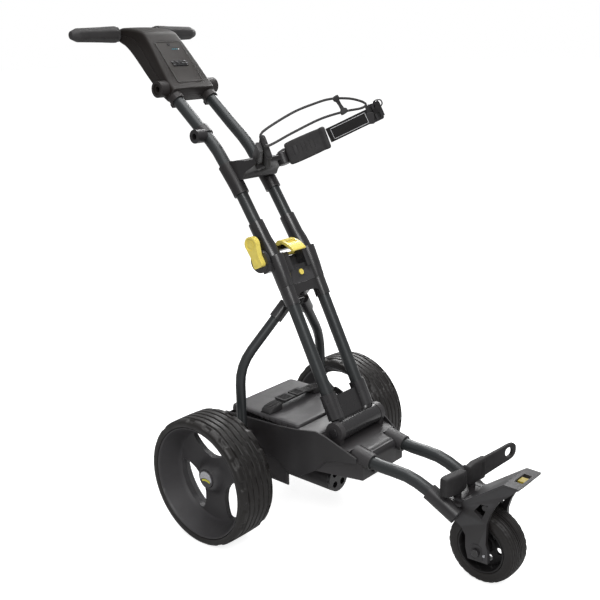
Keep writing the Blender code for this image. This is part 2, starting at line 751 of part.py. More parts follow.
# ================================================================= battery
# strap over the battery, side to side: (x, underside z, height)
BATTERY_STRAP = mirror([(-0.0980, 0.2564, 0.0060), (-0.0860, 0.2564, 0.0130),
                        (-0.0700, 0.2620, 0.0110), (-0.0500, 0.2660, 0.0085)])


def build_battery():
    case = box(wide(0.1000), (-0.1300, 0.0650), (0.1685, 0.2355), bevel=0.005)
    part(case, "battery_case", "battery")
    lid = union(box(wide(0.1050), (-0.1385, 0.0690), (0.2420, 0.2560), bevel=0.004),
                box(wide(0.0970), (-0.1270, 0.0610), (0.2358, 0.2440)))
    part(lid, "battery_lid", "battery")
    middle, foot_half, top_half = -0.035, 0.0150, 0.0130
    strap = loft([[vec(x, middle - foot_half, z), vec(x, middle + foot_half, z),
                   vec(x, middle + top_half, z + height),
                   vec(x, middle - top_half, z + height)]
                  for x, z, height in BATTERY_STRAP])
    part(strap, "battery_strap", "webbing")


# ================================================================= lower frame
COLLAR_TOP = 0.2520       # along the lower line, where the collar meets the fold block
BUTTON = lower_at(0.2745)
FOLD_SHAFT_HOLE = 0.0045  # radius
# fold block columns, upwards: (along, ahead, half width, half depth)
FOLD_COLUMN = [(COLLAR_TOP + 0.0003, 0, 0.0175, 0.0180), (0.285, 0.001, 0.0188, 0.0198),
               (0.345, 0.001, 0.0205, 0.0215)]
# side views on the lower line: (along, ahead)
BLOCK_WEB = [(COLLAR_TOP + 0.0003, 0.0), (COLLAR_TOP + 0.0003, 0.0095), (0.2930, 0.0105),
             (0.2930, 0.0)]
BLOCK_FLANGE = [(0.2835, -0.0020), (0.2835, 0.0140), (0.3550, 0.0150), (0.3550, -0.0100),
                (0.3010, -0.0100)]
PULL_LOOP = [(-0.0360, -0.0130, -0.0200), (-0.0120, -0.0250, -0.0160), (0.0080, -0.0290, 0.0),
             (-0.0120, -0.0250, 0.0160), (-0.0360, -0.0130, 0.0200)]   # (along, ahead, x)


def lower_outline(table):
    return yz([lower_at(along, ahead) for along, ahead in table])


def build_lower_tube(name, side):
    x = side * TUBE_X
    path = [lower_at(LOWER_START, 0, x), lower_at(LOWER_END, 0, x)]
    part(pipe(path, TUBE_RADIUS, TUBE_WALL), "lower_tube_" + name, "metal", BARREL)


def build_base_bracket():
    """Hinge barrel, two stepped sleeves and the plate between them."""
    barrel_along = -0.0787
    plate_start, plate_end = barrel_along + 0.012, -0.0080
    pieces = [cross_rod(BARREL, -0.0636, 0.0636, 0.0215, 20)]
    cuts = [cross_rod(BARREL, -0.09, 0.09, PIN_HOLE_RADIUS, 12)]
    for side in (LEFT, RIGHT):
        x = side * TUBE_X
        pieces.append(rod(lower_at(barrel_along + 0.0125, 0, side * 0.0440),
                          lower_at(-0.0525, 0, side * 0.0500), 0.0150))
        pieces.append(lower_rod(-0.0545, 0.0030, x, 0.0182))
        cuts.append(lower_rod(-0.0515, 0.02, x, BORE_RADIUS))
    plate = [(plate_start, 0.0050), (plate_end, 0.0050), (plate_end, -0.0040),
             (plate_start, -0.0040)]
    pieces.append(prism(lower_outline(plate), wide(0.0500)))
    part(cut(union(*pieces), *cuts), "base_bracket", "plastic", BARREL)


def build_pull_loop():
    """Webbing loop behind the bracket plate."""
    points = [lower_at(*row) for row in PULL_LOOP]
    rings = []
    for k, point in enumerate(points):
        before, after = neighbours(points, k)
        along = (after - before).normalized()
        across = vec(0, 0.80, -0.60)
        across = (across - along * across.dot(along)).normalized() * 0.0080
        thickness = along.cross(across).normalized() * 0.0015
        rings.append(flat_section(point, thickness, across))
    part(loft(rings), "pull_loop", "webbing", BARREL)


def rear_wedge(angle, turn):
    """The space behind a plane through the fold axis, cut away so that the blocks fold."""
    angle = math.radians(angle)
    along = vec(0, math.cos(angle), math.sin(angle))
    behind = vec(0, -along.z, along.y) * turn
    start = FOLD - behind * 0.0003
    depth = 0.060
    corners = [start - along * 0.004, start + along * 0.070,
               start + along * 0.070 + behind * depth, start - along * 0.004 + behind * depth]
    return prism(yz(corners), wide(0.12))


def beyond_seam(turn):
    """The space above the fold seam, or below it when turn is -1."""
    reach = 0.2
    start = FOLD + SEAM_NORMAL * (-SEAM_GAP * turn)
    corners = [start + SEAM_AHEAD * ahead + SEAM_NORMAL * rise
               for ahead, rise in ((-reach, 0), (reach, 0), (reach, reach * turn),
                                   (-reach, reach * turn))]
    return prism(yz(corners), wide(0.2))


def knuckles(spans):
    return [cross_rod(FOLD, side * inner, side * outer, KNUCKLE_RADIUS, 12)
            for side in (LEFT, RIGHT) for inner, outer in spans]


def knuckle_gaps(spans):
    """Clearance round the other block's knuckles."""
    clearance = 0.0004
    gaps = []
    for side in (LEFT, RIGHT):
        for inner, outer in spans:
            run_out = 0.003 if outer > 0.07 else 0   # the outermost gap runs on outwards
            gaps.append(cross_rod(FOLD, side * (inner - clearance),
                                  side * (outer + clearance + run_out), 0.0098, 12))
    return gaps


def fold_shaft_hole():
    return cross_rod(FOLD, -0.12, 0.09, FOLD_SHAFT_HOLE, 8)


def build_fold_block():
    """Columns over the lower tubes, a web with the button hole, and hinge knuckles."""
    columns = [loft([ring(lower_at(along, ahead, side * TUBE_X), X_AXIS, LOWER_AHEAD,
                          half_width, 12, half_depth)
                     for along, ahead, half_width, half_depth in FOLD_COLUMN])
               for side in (LEFT, RIGHT)]
    web = prism(lower_outline(BLOCK_WEB), wide(0.0480))
    flanges = [prism(lower_outline(BLOCK_FLANGE), span(side, 0.0232, 0.0417))
               for side in (LEFT, RIGHT)]
    block = cut(union(*columns, web, *flanges),
                beyond_seam(1), rear_wedge(LOWER_REAR_ANGLE, 1))
    # round housing on the operator's right, and the foot that ties it to the column
    housing = cross_rod(FOLD, -0.0840, -0.0745, 0.0225, 18)
    foot = [FOLD + SEAM_AHEAD * ahead + LOWER_DIR * rise
            for ahead, rise in ((0.0, -0.030), (0.0210, -0.030), (0.0210, -0.0120),
                                (0.0, -0.0120))]
    block = union(block, *knuckles(LOWER_KNUCKLES), housing,
                  prism(yz(foot), (-0.0835, -0.0600)))
    bores = [lower_rod(0.2, LOWER_END + 0.0010, side * TUBE_X, BORE_RADIUS)
             for side in (LEFT, RIGHT)]
    button_hole = rod(BUTTON - LOWER_AHEAD * 0.02, BUTTON + LOWER_AHEAD * 0.03, 0.0072, 16)
    block = cut(block, *knuckle_gaps(UPPER_KNUCKLES), fold_shaft_hole(), *bores, button_hole)
    part(block, "fold_block", "plastic", BARREL)


def build_release_button():
    """Button through the web, with a flange behind it."""
    button = union(rod(BUTTON - LOWER_AHEAD * 0.0030, BUTTON + LOWER_AHEAD * 0.0120,
                       0.0066, 16),
                   rod(BUTTON - LOWER_AHEAD * 0.0060, BUTTON - LOWER_AHEAD * 0.0028,
                       0.0092, 16))
    part(button, "release_button", "yellow", BUTTON)


def build_stay_collar():
    """Collar below the fold block: two sleeves, an arched plate and the stay lug behind."""
    sleeves = [lower_rod(0.2110, COLLAR_TOP, side * TUBE_X, 0.0170, 0.0174)
               for side in (LEFT, RIGHT)]
    top, rear, front = COLLAR_TOP - 0.0002, -0.001, 0.0090
    arch = mirror([(-0.048, 0.2200), (-0.022, 0.2310)])    # (x, lower edge along the line)
    plate = loft([[lower_at(bottom, rear, x), lower_at(bottom, front, x),
                   lower_at(top, front, x), lower_at(top, rear, x)] for x, bottom in arch])
    lug = (lower_outline([(0.2320, 0.002), (COLLAR_TOP - 0.0015, 0.002)])
           + [(-0.0350, 0.5330), (-0.0350, 0.5105), (-0.0600, 0.5095)])
    collar = union(*sleeves, plate, prism(lug, wide(0.0187)))
    bores = [lower_rod(0.19, 0.27, side * TUBE_X, BORE_RADIUS) for side in (LEFT, RIGHT)]
    part(cut(collar, *bores), "stay_collar", "plastic", BARREL)


def build_lower_frame():
    for name, side in SIDES:
        build_lower_tube(name, side)
    build_base_bracket()
    build_pull_loop()
    build_fold_block()
    build_release_button()
    build_stay_collar()


# ================================================================= stays
STAY_RADIUS = 0.0113
STAY_WALL = 0.0016
STAY_X = 0.1385           # the upright lower run


def stay_points(side):
    """Top end, corner and bottom end of a stay."""
    return (vec(side * 0.0310, -0.0420, 0.4960), vec(side * STAY_X, 0, 0.3740),
            vec(side * STAY_X, 0, 0.1900))


def build_stay_tube(name, side):
    tube = pipe(rounded_corner(*stay_points(side), radius=0.045), STAY_RADIUS, STAY_WALL)
    tube = cut(tube, cross_rod(STAY_PIVOT, side * 0.10, side * 0.18, 0.0049, 10))
    part(tube, "stay_tube_" + name, "metal", STAY_PIVOT)


def build_stay_yoke():
    """Sleeves over the stays' top ends, joined by a crossbar."""
    sleeves, bores = [], []
    for side in (LEFT, RIGHT):
        top, corner, _ = stay_points(side)
        along = (corner - top).normalized()
        sleeves.append(rod(top - along * 0.0060, top + along * 0.0360, 0.0152))
        bores.append(rod(top - along * 0.0004, top + along * 0.08, STAY_RADIUS + 0.0004))
    crossbar = box(wide(0.0300), (-0.0530, -0.0330), (0.4900, 0.5040), bevel=0.002)
    part(cut(union(*sleeves, crossbar), *bores), "stay_yoke", "plastic", STAY_PIVOT)


def build_stays():
    for name, side in SIDES:
        build_stay_tube(name, side)
    build_stay_yoke()


# ================================================================= upper frame
def build_upper_tube(name, side):
    part(pipe(upper_path(side), TUBE_RADIUS, TUBE_WALL), "upper_tube_" + name, "metal", FOLD)


def build_upper_block():
    """Columns over the upper tubes, a bridge behind them, and hinge knuckles."""
    start, end = vec(0, -0.0218, 0.6177), vec(0, 0.0197, 0.6805)
    along = (end - start).normalized()
    ahead = vec(0, -along.z, along.y)
    sections = [(-0.030, 0.0205, 0.0215), (0.012, 0.0200, 0.0205), (0.030, 0.0180, 0.0180),
                ((end - start).length, 0.0174, 0.0174)]   # (along, half width, half depth)
    columns = [loft([ring(vec(side * TUBE_X, 0, 0) + start + along * rise, X_AXIS, ahead,
                          half_width, 12, half_depth)
                     for rise, half_width, half_depth in sections])
               for side in (LEFT, RIGHT)]
    bridge = [start + along * rise + ahead * offset
              for rise, offset in ((0.0010, -0.0010), (0.0010, -0.0150), (0.0190, -0.0150),
                                   (0.0190, -0.0060))]
    block = cut(union(*columns, prism(yz(bridge), wide(0.040))),
                beyond_seam(-1), rear_wedge(UPPER_REAR_ANGLE, -1))
    block = union(block, *knuckles(UPPER_KNUCKLES))
    bores = []
    for side in (LEFT, RIGHT):
        first, second = upper_path(side)[:2]
        direction = (second - first).normalized()
        bores.append(rod(first - direction * 0.0006, second + direction * 0.03, BORE_RADIUS))
    block = cut(block, *knuckle_gaps(LOWER_KNUCKLES), fold_shaft_hole(), *bores)
    part(block, "upper_fold_block", "plastic", FOLD)


def build_fold_lever():
    """Yellow lever on the operator's right, with its shaft through the knuckles."""
    x_span = (-0.0973, -0.0843)
    along = vec(0, 0.424, 0.906).normalized()
    ahead = vec(0, -along.z, along.y)
    top = FOLD + vec(0, 0.0124, 0.0383)
    foot = FOLD + vec(0, -0.0060, -0.0025)
    radius, half_arc, steps = 0.0175, math.pi * 0.62, 12
    outline = []
    for k in range(steps + 1):
        angle = -half_arc + k * 2 * half_arc / steps
        outline.append(top + along * (radius * math.cos(angle))
                       + ahead * (radius * math.sin(angle)))
    for offset, rise in mirror([(0.0115, 0.0160), (0.0140, -0.0020), (0.0115, -0.0085)]):
        outline.append(foot + ahead * offset + along * rise)
    shaft = cross_rod(FOLD, x_span[1] - 0.002, 0.0715, 0.0041, 8)
    part(union(prism(yz(outline), x_span), shaft), "fold_lever", "yellow", FOLD)


# side view of the catch between the columns, (y, z)
FOLD_CATCH = [
    (-0.0105, 0.6300), (-0.0135, 0.6375), (-0.0250, 0.6405), (-0.0420, 0.6365),
    (-0.0560, 0.6290), (-0.0630, 0.6235), (-0.0615, 0.6200), (-0.0540, 0.6235),
    (-0.0400, 0.6300), (-0.0250, 0.6345), (-0.0190, 0.6270)]


def build_fold_catch():
    part(prism(FOLD_CATCH, wide(0.0212)), "fold_catch", "yellow", vec(0, -0.0165, 0.6330))


# ---------------------------------------------------------------- bag saddle
SADDLE_UP = vec(0, 0.42, 0.88)            # height direction of arms, pads and strap
# (y, z) of the sleeves' path and of the web's side view
SADDLE_SLEEVE = [(0.0587, 0.7393), (0.0835, 0.7735), (0.1050, 0.8000)]
SADDLE_WEB = [
    (0.0790, 0.7820), (0.0980, 0.8080), (0.0700, 0.8145), (0.0350, 0.8160), (0.0100, 0.8230),
    (0.0060, 0.8120), (0.0250, 0.8000), (0.0450, 0.7880), (0.0520, 0.7700)]
# (share of the arm's length, half height, half thickness)
SADDLE_ARM = [(0.0, 0.0120, 0.0060), (0.30, 0.0130, 0.0050), (0.95, 0.0120, 0.0040)]
# (share of the arm's length, half height)
BAG_PAD = [(0.16, 0.0230), (0.22, 0.0265), (0.60, 0.0265), (1.00, 0.0250), (1.04, 0.0220)]
STRAP_START, STRAP_END = vec(0.1075, -0.0605, 0.8600), vec(0.1700, -0.1230, 0.8990)
# (distance along the strap's direction, half height, half thickness)
BUCKLE = [(-0.0040, 0.018, 0.0060), (0.006, 0.0215, 0.0095), (0.0200, 0.020, 0.0080),
          (0.0240, 0.014, 0.0050)]
# closed loop of cord, (x, y, z)
CORD = [
    (-0.1120, -0.0680, 0.8880), (-0.0240, -0.0700, 0.9190), (0.0400, -0.0800, 0.9350),
    (0.0840, -0.0890, 0.9420), (0.1300, -0.1040, 0.9400), (0.1600, -0.1180, 0.9310),
    (0.1630, -0.1230, 0.9240), (0.1500, -0.1180, 0.9180), (0.1100, -0.1060, 0.9140),
    (0.0500, -0.0870, 0.9020), (-0.0300, -0.0760, 0.8790), (-0.1060, -0.0760, 0.8600),
    (-0.1150, -0.0740, 0.8740)]


def arm_back(side):
    """Square to an arm in plan: backwards and outwards."""
    return vec(side * 0.70, 0.70, 0)


def arm_point(side, share, back):
    """A point along a saddle arm's line, moved back from it."""
    start, end = vec(side * 0.0330, 0.0180, 0.8150), vec(side * 0.1030, -0.0560, 0.8570)
    return start.lerp(end, share) + arm_back(side) * back


def arm_section(centre, side, half_height, half_thickness):
    return flat_section(centre, SADDLE_UP * half_height, arm_back(side) * half_thickness)


def build_bag_saddle():
    """Sleeves on the upper tubes, a web, and two arms that reach forward and out."""
    sleeves, arms, bores = [], [], []
    for side in (LEFT, RIGHT):
        sleeves.append(sweep([vec(side * TUBE_X, y, z) for y, z in SADDLE_SLEEVE], 0.0180))
        arms.append(loft([arm_section(arm_point(side, share, 0.0045), side, half_height,
                                      half_thickness)
                          for share, half_height, half_thickness in SADDLE_ARM]))
        bores.append(sweep(upper_path(side)[1:6], BORE_RADIUS))
    saddle = union(*sleeves, prism(SADDLE_WEB, wide(0.0560)), *arms)
    part(cut(saddle, *bores), "bag_saddle", "plastic", FOLD)


def build_bag_pad(name, side):
    pad = loft([arm_section(arm_point(side, share, -0.0085), side, half_height, 0.0050)
                for share, half_height in BAG_PAD])
    part(pad, "bag_pad_" + name, "rubber", FOLD)


def build_bag_strap():
    """Strap on the left arm, and its buckle."""
    strap = loft([arm_section(STRAP_START.lerp(STRAP_END, share) - arm_back(LEFT) * 0.0040,
                              LEFT, 0.0165, 0.0015) for share in (0.0, 0.5, 1.0)])
    part(strap, "bag_strap", "webbing", FOLD)
    centre = vec(0.1765, -0.1300, 0.9060)
    along = (STRAP_END - STRAP_START).normalized()
    buckle = loft([arm_section(centre + along * distance, LEFT, half_height, half_thickness)
                   for distance, half_height, half_thickness in BUCKLE])
    part(buckle, "strap_buckle", "plastic", FOLD)


def build_bungee():
    cord = sweep([vec(*row) for row in CORD], 0.0028, 6, closed=True)
    part(cord, "bungee_cord", "rubber", FOLD)


def build_accessory_clip():
    """Clip on the right upper tube, with a socket that opens outwards."""
    centre = vec(-TUBE_X, 0.1720, 0.8692)
    half_sleeve = vec(0, 0.772, 0.636) * 0.011
    socket = vec(0, 0.1640, 0.8640)
    clip = union(rod(centre - half_sleeve, centre + half_sleeve, 0.0180),
                 cross_rod(socket, -0.0600, -0.0880, 0.0155, 16))
    clip = cut(clip, sweep(upper_path(RIGHT)[5:], BORE_RADIUS),
               cross_rod(socket, -0.0780, -0.10, 0.0070, 12))
    part(clip, "accessory_clip", "plastic", FOLD)


def build_upper_frame():
    for name, side in SIDES:
        build_upper_tube(name, side)
    build_upper_block()
    build_fold_lever()
    build_fold_catch()
    build_bag_saddle()
    for name, side in SIDES:
        build_bag_pad(name, side)
    build_bag_strap()
    build_bungee()
    build_accessory_clip()


# ================================================================= handle
HANDLE_BASE = vec(0, 0.2608, 0.9489)      # middle of the handle's lower end
HANDLE_UP = vec(0, -0.6374, 0.7705)       # square to the tubes there
HANDLE_SPLIT = 0.52                       # share of the height below the parting line
PARTING_GAP = 0.00015                     # from the parting line to each shell
SHELL_CHAMFER = 0.0070
SHELL_WALL = 0.0028
COVER_INSET = 0.0016                      # the cover is narrower than the body on each side
GRIP_Y, GRIP_Z = 0.4495, 1.0865
# stations towards the grips: (top point, bottom point, half width)
STATIONS = [
    (HANDLE_BASE + HANDLE_UP * 0.0200, HANDLE_BASE - HANDLE_UP * 0.0200, 0.0665),
    (vec(0, 0.2680, 0.9840), vec(0, 0.3020, 0.9530), 0.0665),
    (vec(0, 0.3000, 1.0225), vec(0, 0.3450, 0.9880), 0.0620),
    (vec(0, 0.3440, 1.0740), vec(0, 0.3980, 1.0330), 0.0545),
    (vec(0, 0.3700, 1.0930), vec(0, 0.4270, 1.0560), 0.0530),
    (vec(0, 0.4300, 1.1020), vec(0, 0.4440, 1.0660), 0.0560),
    (vec(0, 0.4640, 1.0960), vec(0, 0.4640, 1.0740), 0.0520),
]


def station_between(start, end, distance):
    """The station a given distance from one towards another."""
    share = distance / (((end[0] + end[1]) - (start[0] + start[1])).length / 2)
    return (start[0].lerp(end[0], share), start[1].lerp(end[1], share),
            start[2] + (end[2] - start[2]) * share)


def closed_stations(stations, slab):
    """(station, hollow) pairs with a solid slab at both ends, so that the shell closes."""
    first, second = stations[:2]
    last, before_last = stations[-1], stations[-2]
    step = slab * 1.05
    return ([(first, False), (station_between(first, second, slab), False),
             (station_between(first, second, step), True)]
            + [(station, True) for station in stations[1:-1]]
            + [(station_between(last, before_last, step), True),
               (station_between(last, before_last, slab), False), (last, False)])


def shell_ring(station, hollow, upper):
    """A chamfered channel section on one side of the parting line."""
    top, bottom, half = station
    up = top - bottom
    length = up.length
    up = up.normalized()
    turn = 1 if upper else -1
    if upper:
        half -= COVER_INSET
    base = bottom + up * (length * HANDLE_SPLIT + turn * PARTING_GAP)
    height = length * (1 - HANDLE_SPLIT if upper else HANDLE_SPLIT) - PARTING_GAP
    roof = SHELL_WALL if hollow else height - 0.0006
    chamfer = min(SHELL_CHAMFER, height * 0.5)
    outer = mirror([(-half, 0), (-half, height - chamfer), (-half + chamfer, height)])
    inner = mirror([(half - SHELL_WALL, 0),
                    (half - SHELL_WALL, max(height - roof - chamfer * 0.3, 0.0004)),
                    (half - chamfer - SHELL_WALL * 0.3, height - roof)])
    return [vec(x, 0, 0) + base + up * (turn * rise) for x, rise in outer + inner]


def shell(stations, slab, upper):
    return loft([shell_ring(station, hollow, upper)
                 for station, hollow in closed_stations(stations, slab)])


def build_handle_body():
    """Lower shell, with tube collars, side bosses and the stubs that carry the grips."""
    extended = station_between(STATIONS[0], STATIONS[1], -0.0014)
    body = shell([extended] + STATIONS[1:], 0.0044, upper=False)
    boss = vec(0, 0.2810, 0.9640)
    adds, cuts = [], []
    for side in (LEFT, RIGHT):
        before, end = upper_path(side)[-2:]
        along = (end - before).normalized()
        adds.append(rod(end - along * 0.0105, end + along * 0.0046, 0.0176))
        adds.append(cross_rod(boss, side * 0.0653, side * 0.0880, 0.0188, 14))
        adds.append(rod(vec(side * 0.0480, GRIP_Y, 1.0770), vec(side * 0.1720, GRIP_Y, 1.0800),
                        0.0060, 10))
        cuts.append(rod(end + along * 0.0006, end - along * 0.05, BORE_RADIUS))
        cuts.append(cross_rod(boss, side * 0.0760, side * 0.10, 0.0070, 10))
    part(cut(union(body, *adds), *cuts), "handle_body", "plastic", FOLD)


# ---------------------------------------------------------------- cover and controls
COVER_DIR = (vec(0, 0.3480, 1.0790) - vec(0, 0.2590, 0.9765)).normalized()
COVER_NORMAL = vec(0, -COVER_DIR.z, COVER_DIR.y)    # out of the sloping cover


def cover_point(y):
    """The point on the cover's top line at y."""
    tops = [station[0] for station in STATIONS]
    return vec(0, y, float(np.interp(y, [p.y for p in tops], [p.z for p in tops])))


DIAL = cover_point(0.2970) - COVER_NORMAL * 0.0062
POWER = cover_point(0.3330)


def cover_slab(y0, y1, bottom, top, half):
    """A slab that follows the cover's top line, between two heights from it."""
    line = [cover_point(y) for y in (y0, 0.2680, 0.3000, y1)]
    outline = ([p + COVER_NORMAL * top for p in line]
               + [p + COVER_NORMAL * bottom for p in reversed(line)])
    return prism(yz(outline), wide(half))


def control_holes():
    """The dial's slot and the power button's hole."""
    return (cross_rod(DIAL, -0.0235, 0.0235, 0.0104, 20),
            rod(POWER - COVER_NORMAL * 0.012, POWER + COVER_NORMAL * 0.01, 0.0050, 12))


def build_handle_cover():
    cover = cut(shell(STATIONS, 0.0030, upper=True),
                cover_slab(0.2600, 0.3400, -0.0016, 0.02, 0.0400), *control_holes())
    part(cover, "handle_cover", "plastic", FOLD)


def build_control_panel():
    panel = cut(cover_slab(0.2604, 0.3396, -0.0013, -0.0001, 0.0396), *control_holes())
    part(panel, "control_panel", "panel", FOLD)


def build_controls():
    part(cross_rod(DIAL, -0.0230, 0.0230, 0.0098, 20), "speed_dial", "plastic", DIAL)
    button = rod(POWER - COVER_NORMAL * 0.0070, POWER + COVER_NORMAL * 0.0012, 0.0045, 12)
    part(button, "power_button", "rubber", POWER)


# inside to tip: (x, half depth, half height)
GRIP = [(0.0580, 0.0160, 0.0170), (0.0640, 0.0175, 0.0190), (0.1000, 0.0165, 0.0175),
        (0.1720, 0.0150, 0.0155), (0.1890, 0.0085, 0.0090)]
GRIP_FLAT = 0.45          # half of a flat, as a share of the half size
GRIP_SECTION = [(-1, -GRIP_FLAT), (-GRIP_FLAT, -1), (GRIP_FLAT, -1), (1, -GRIP_FLAT),
                (1, GRIP_FLAT), (GRIP_FLAT, 1), (-GRIP_FLAT, 1), (-1, GRIP_FLAT)]


def build_grip(name, side):
    """Eight-sided tapered grip with a chamfered tip, over the handle's stub."""
    grip = loft([[vec(side * x, GRIP_Y, GRIP_Z) + vec(0, across * half_depth, rise * half_height)
                  for across, rise in GRIP_SECTION] for x, half_depth, half_height in GRIP])
    grip = cut(grip, rod(vec(side * 0.02, GRIP_Y, 1.0763), vec(side * 0.1726, GRIP_Y, 1.0800),
                         0.0064, 10))
    part(grip, "grip_" + name, "rubber", FOLD)


def build_handle():
    build_handle_body()
    build_handle_cover()
    build_control_panel()
    build_controls()
    for name, side in SIDES:
        build_grip(name, side)


# ================================================================= build
for old_object in list(bpy.data.objects):
    bpy.data.objects.remove(old_object, do_unlink=True)

build_chassis()
build_front_fork()
build_drive()
build_wheels()
build_battery()
build_lower_frame()
build_stays()
build_upper_frame()
build_handle()

for built in bpy.context.scene.objects:
    built.location.y += FOOTPRINT_SHIFT
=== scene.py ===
"""The looks of an electric golf trolley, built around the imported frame.

Lengths are in metres. Z is up, -Y is the front (the small wheel), +Y the handle end, and
+X the trolley's left. Pieces are laid out from the ground under the rear axle and moved to
the frame's own origin at the end. In the loops over sides, side is +1 left and -1 right.
"""
import bpy
import bmesh
import json
import math
from mathutils import Vector, Matrix


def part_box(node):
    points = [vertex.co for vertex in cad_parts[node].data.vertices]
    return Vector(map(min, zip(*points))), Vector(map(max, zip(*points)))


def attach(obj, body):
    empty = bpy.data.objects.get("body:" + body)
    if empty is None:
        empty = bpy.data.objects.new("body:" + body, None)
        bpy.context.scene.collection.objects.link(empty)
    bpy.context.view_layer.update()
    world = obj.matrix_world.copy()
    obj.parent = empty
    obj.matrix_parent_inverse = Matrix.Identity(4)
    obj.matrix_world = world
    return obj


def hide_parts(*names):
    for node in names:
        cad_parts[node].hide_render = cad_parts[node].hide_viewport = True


def vec(x, y, z):
    return Vector((x, y, z))


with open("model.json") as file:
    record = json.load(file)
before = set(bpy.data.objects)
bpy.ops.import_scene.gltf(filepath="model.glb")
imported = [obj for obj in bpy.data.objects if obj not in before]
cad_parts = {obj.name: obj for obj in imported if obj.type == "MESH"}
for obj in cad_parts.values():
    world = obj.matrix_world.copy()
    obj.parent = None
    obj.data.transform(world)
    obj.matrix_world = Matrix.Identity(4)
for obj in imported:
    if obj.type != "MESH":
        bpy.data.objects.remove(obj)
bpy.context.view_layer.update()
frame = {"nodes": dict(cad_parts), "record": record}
COLLECTION = bpy.context.scene.collection
BODY_OF = {node: body for body, nodes in frame["record"]["behaviour"]["bodies"].items()
           for node in nodes}
SHIFT = vec(0, sum(corner.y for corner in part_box("rear_tyre_left")) / 2, 0)
SIDES = (("left", 1), ("right", -1))
PIECES = []

# ------------------------------------------------------------------ sizes shared by pieces
REAR_R, REAR_W, REAR_OUT = 0.145, 0.0957, 0.2878        # rear wheel radius, width, outer face
FRONT_R, FRONT_W, WHEELBASE = 0.0767, 0.0633, 0.5534
AXLE = (0, REAR_R)                                      # rear axle (y, z)
FRONT = vec(0, -WHEELBASE, FRONT_R)                     # front axle centre
TUBE_R, TUBE_WALL, TUBE_X, BORE_R = 0.0138, 0.0018, 0.0515, 0.0142
STAY_R, STAY_WALL = 0.0113, 0.0016
BARREL, BARREL_R = vec(0, -0.218, 0.252), 0.0225        # hinge at the base
LOW_P, LOW_D = vec(0, -0.18, 0.3215), vec(0, 0.4477, 0.8942)  # lower tubes: start, direction
LOW_N = vec(0, -LOW_D.z, LOW_D.y)                       # square to them, towards the front
LOW_START, LOW_END = -0.051, 0.3                        # distances along the lower tubes
COLLAR_TOP = 0.252
FOLD, KNUCKLE_R, KNUCKLE_BORE = vec(0, -0.0185, 0.6035), 0.0092, 0.0098  # middle hinge
SEAM_D = vec(0, 0.4924, 0.8704).normalized()            # square to the seam of the fold
SEAM_ALONG = vec(0, -SEAM_D.z, SEAM_D.y)
STAY_PIVOT = vec(0, 0, 0.205)
UPPER_LINE = [                                          # centre line of the upper tubes (y, z)
    (-0.0147, 0.628), (0.02, 0.681), (0.056, 0.736), (0.0835, 0.7735), (0.1105, 0.807),
    (0.129, 0.8305), (0.15, 0.8515), (0.19, 0.8845), (0.2585, 0.943)]
GRIP_Y, GRIP_Z = 0.4495, 1.0865

# ------------------------------------------------------------------ materials
LOOKS = {}


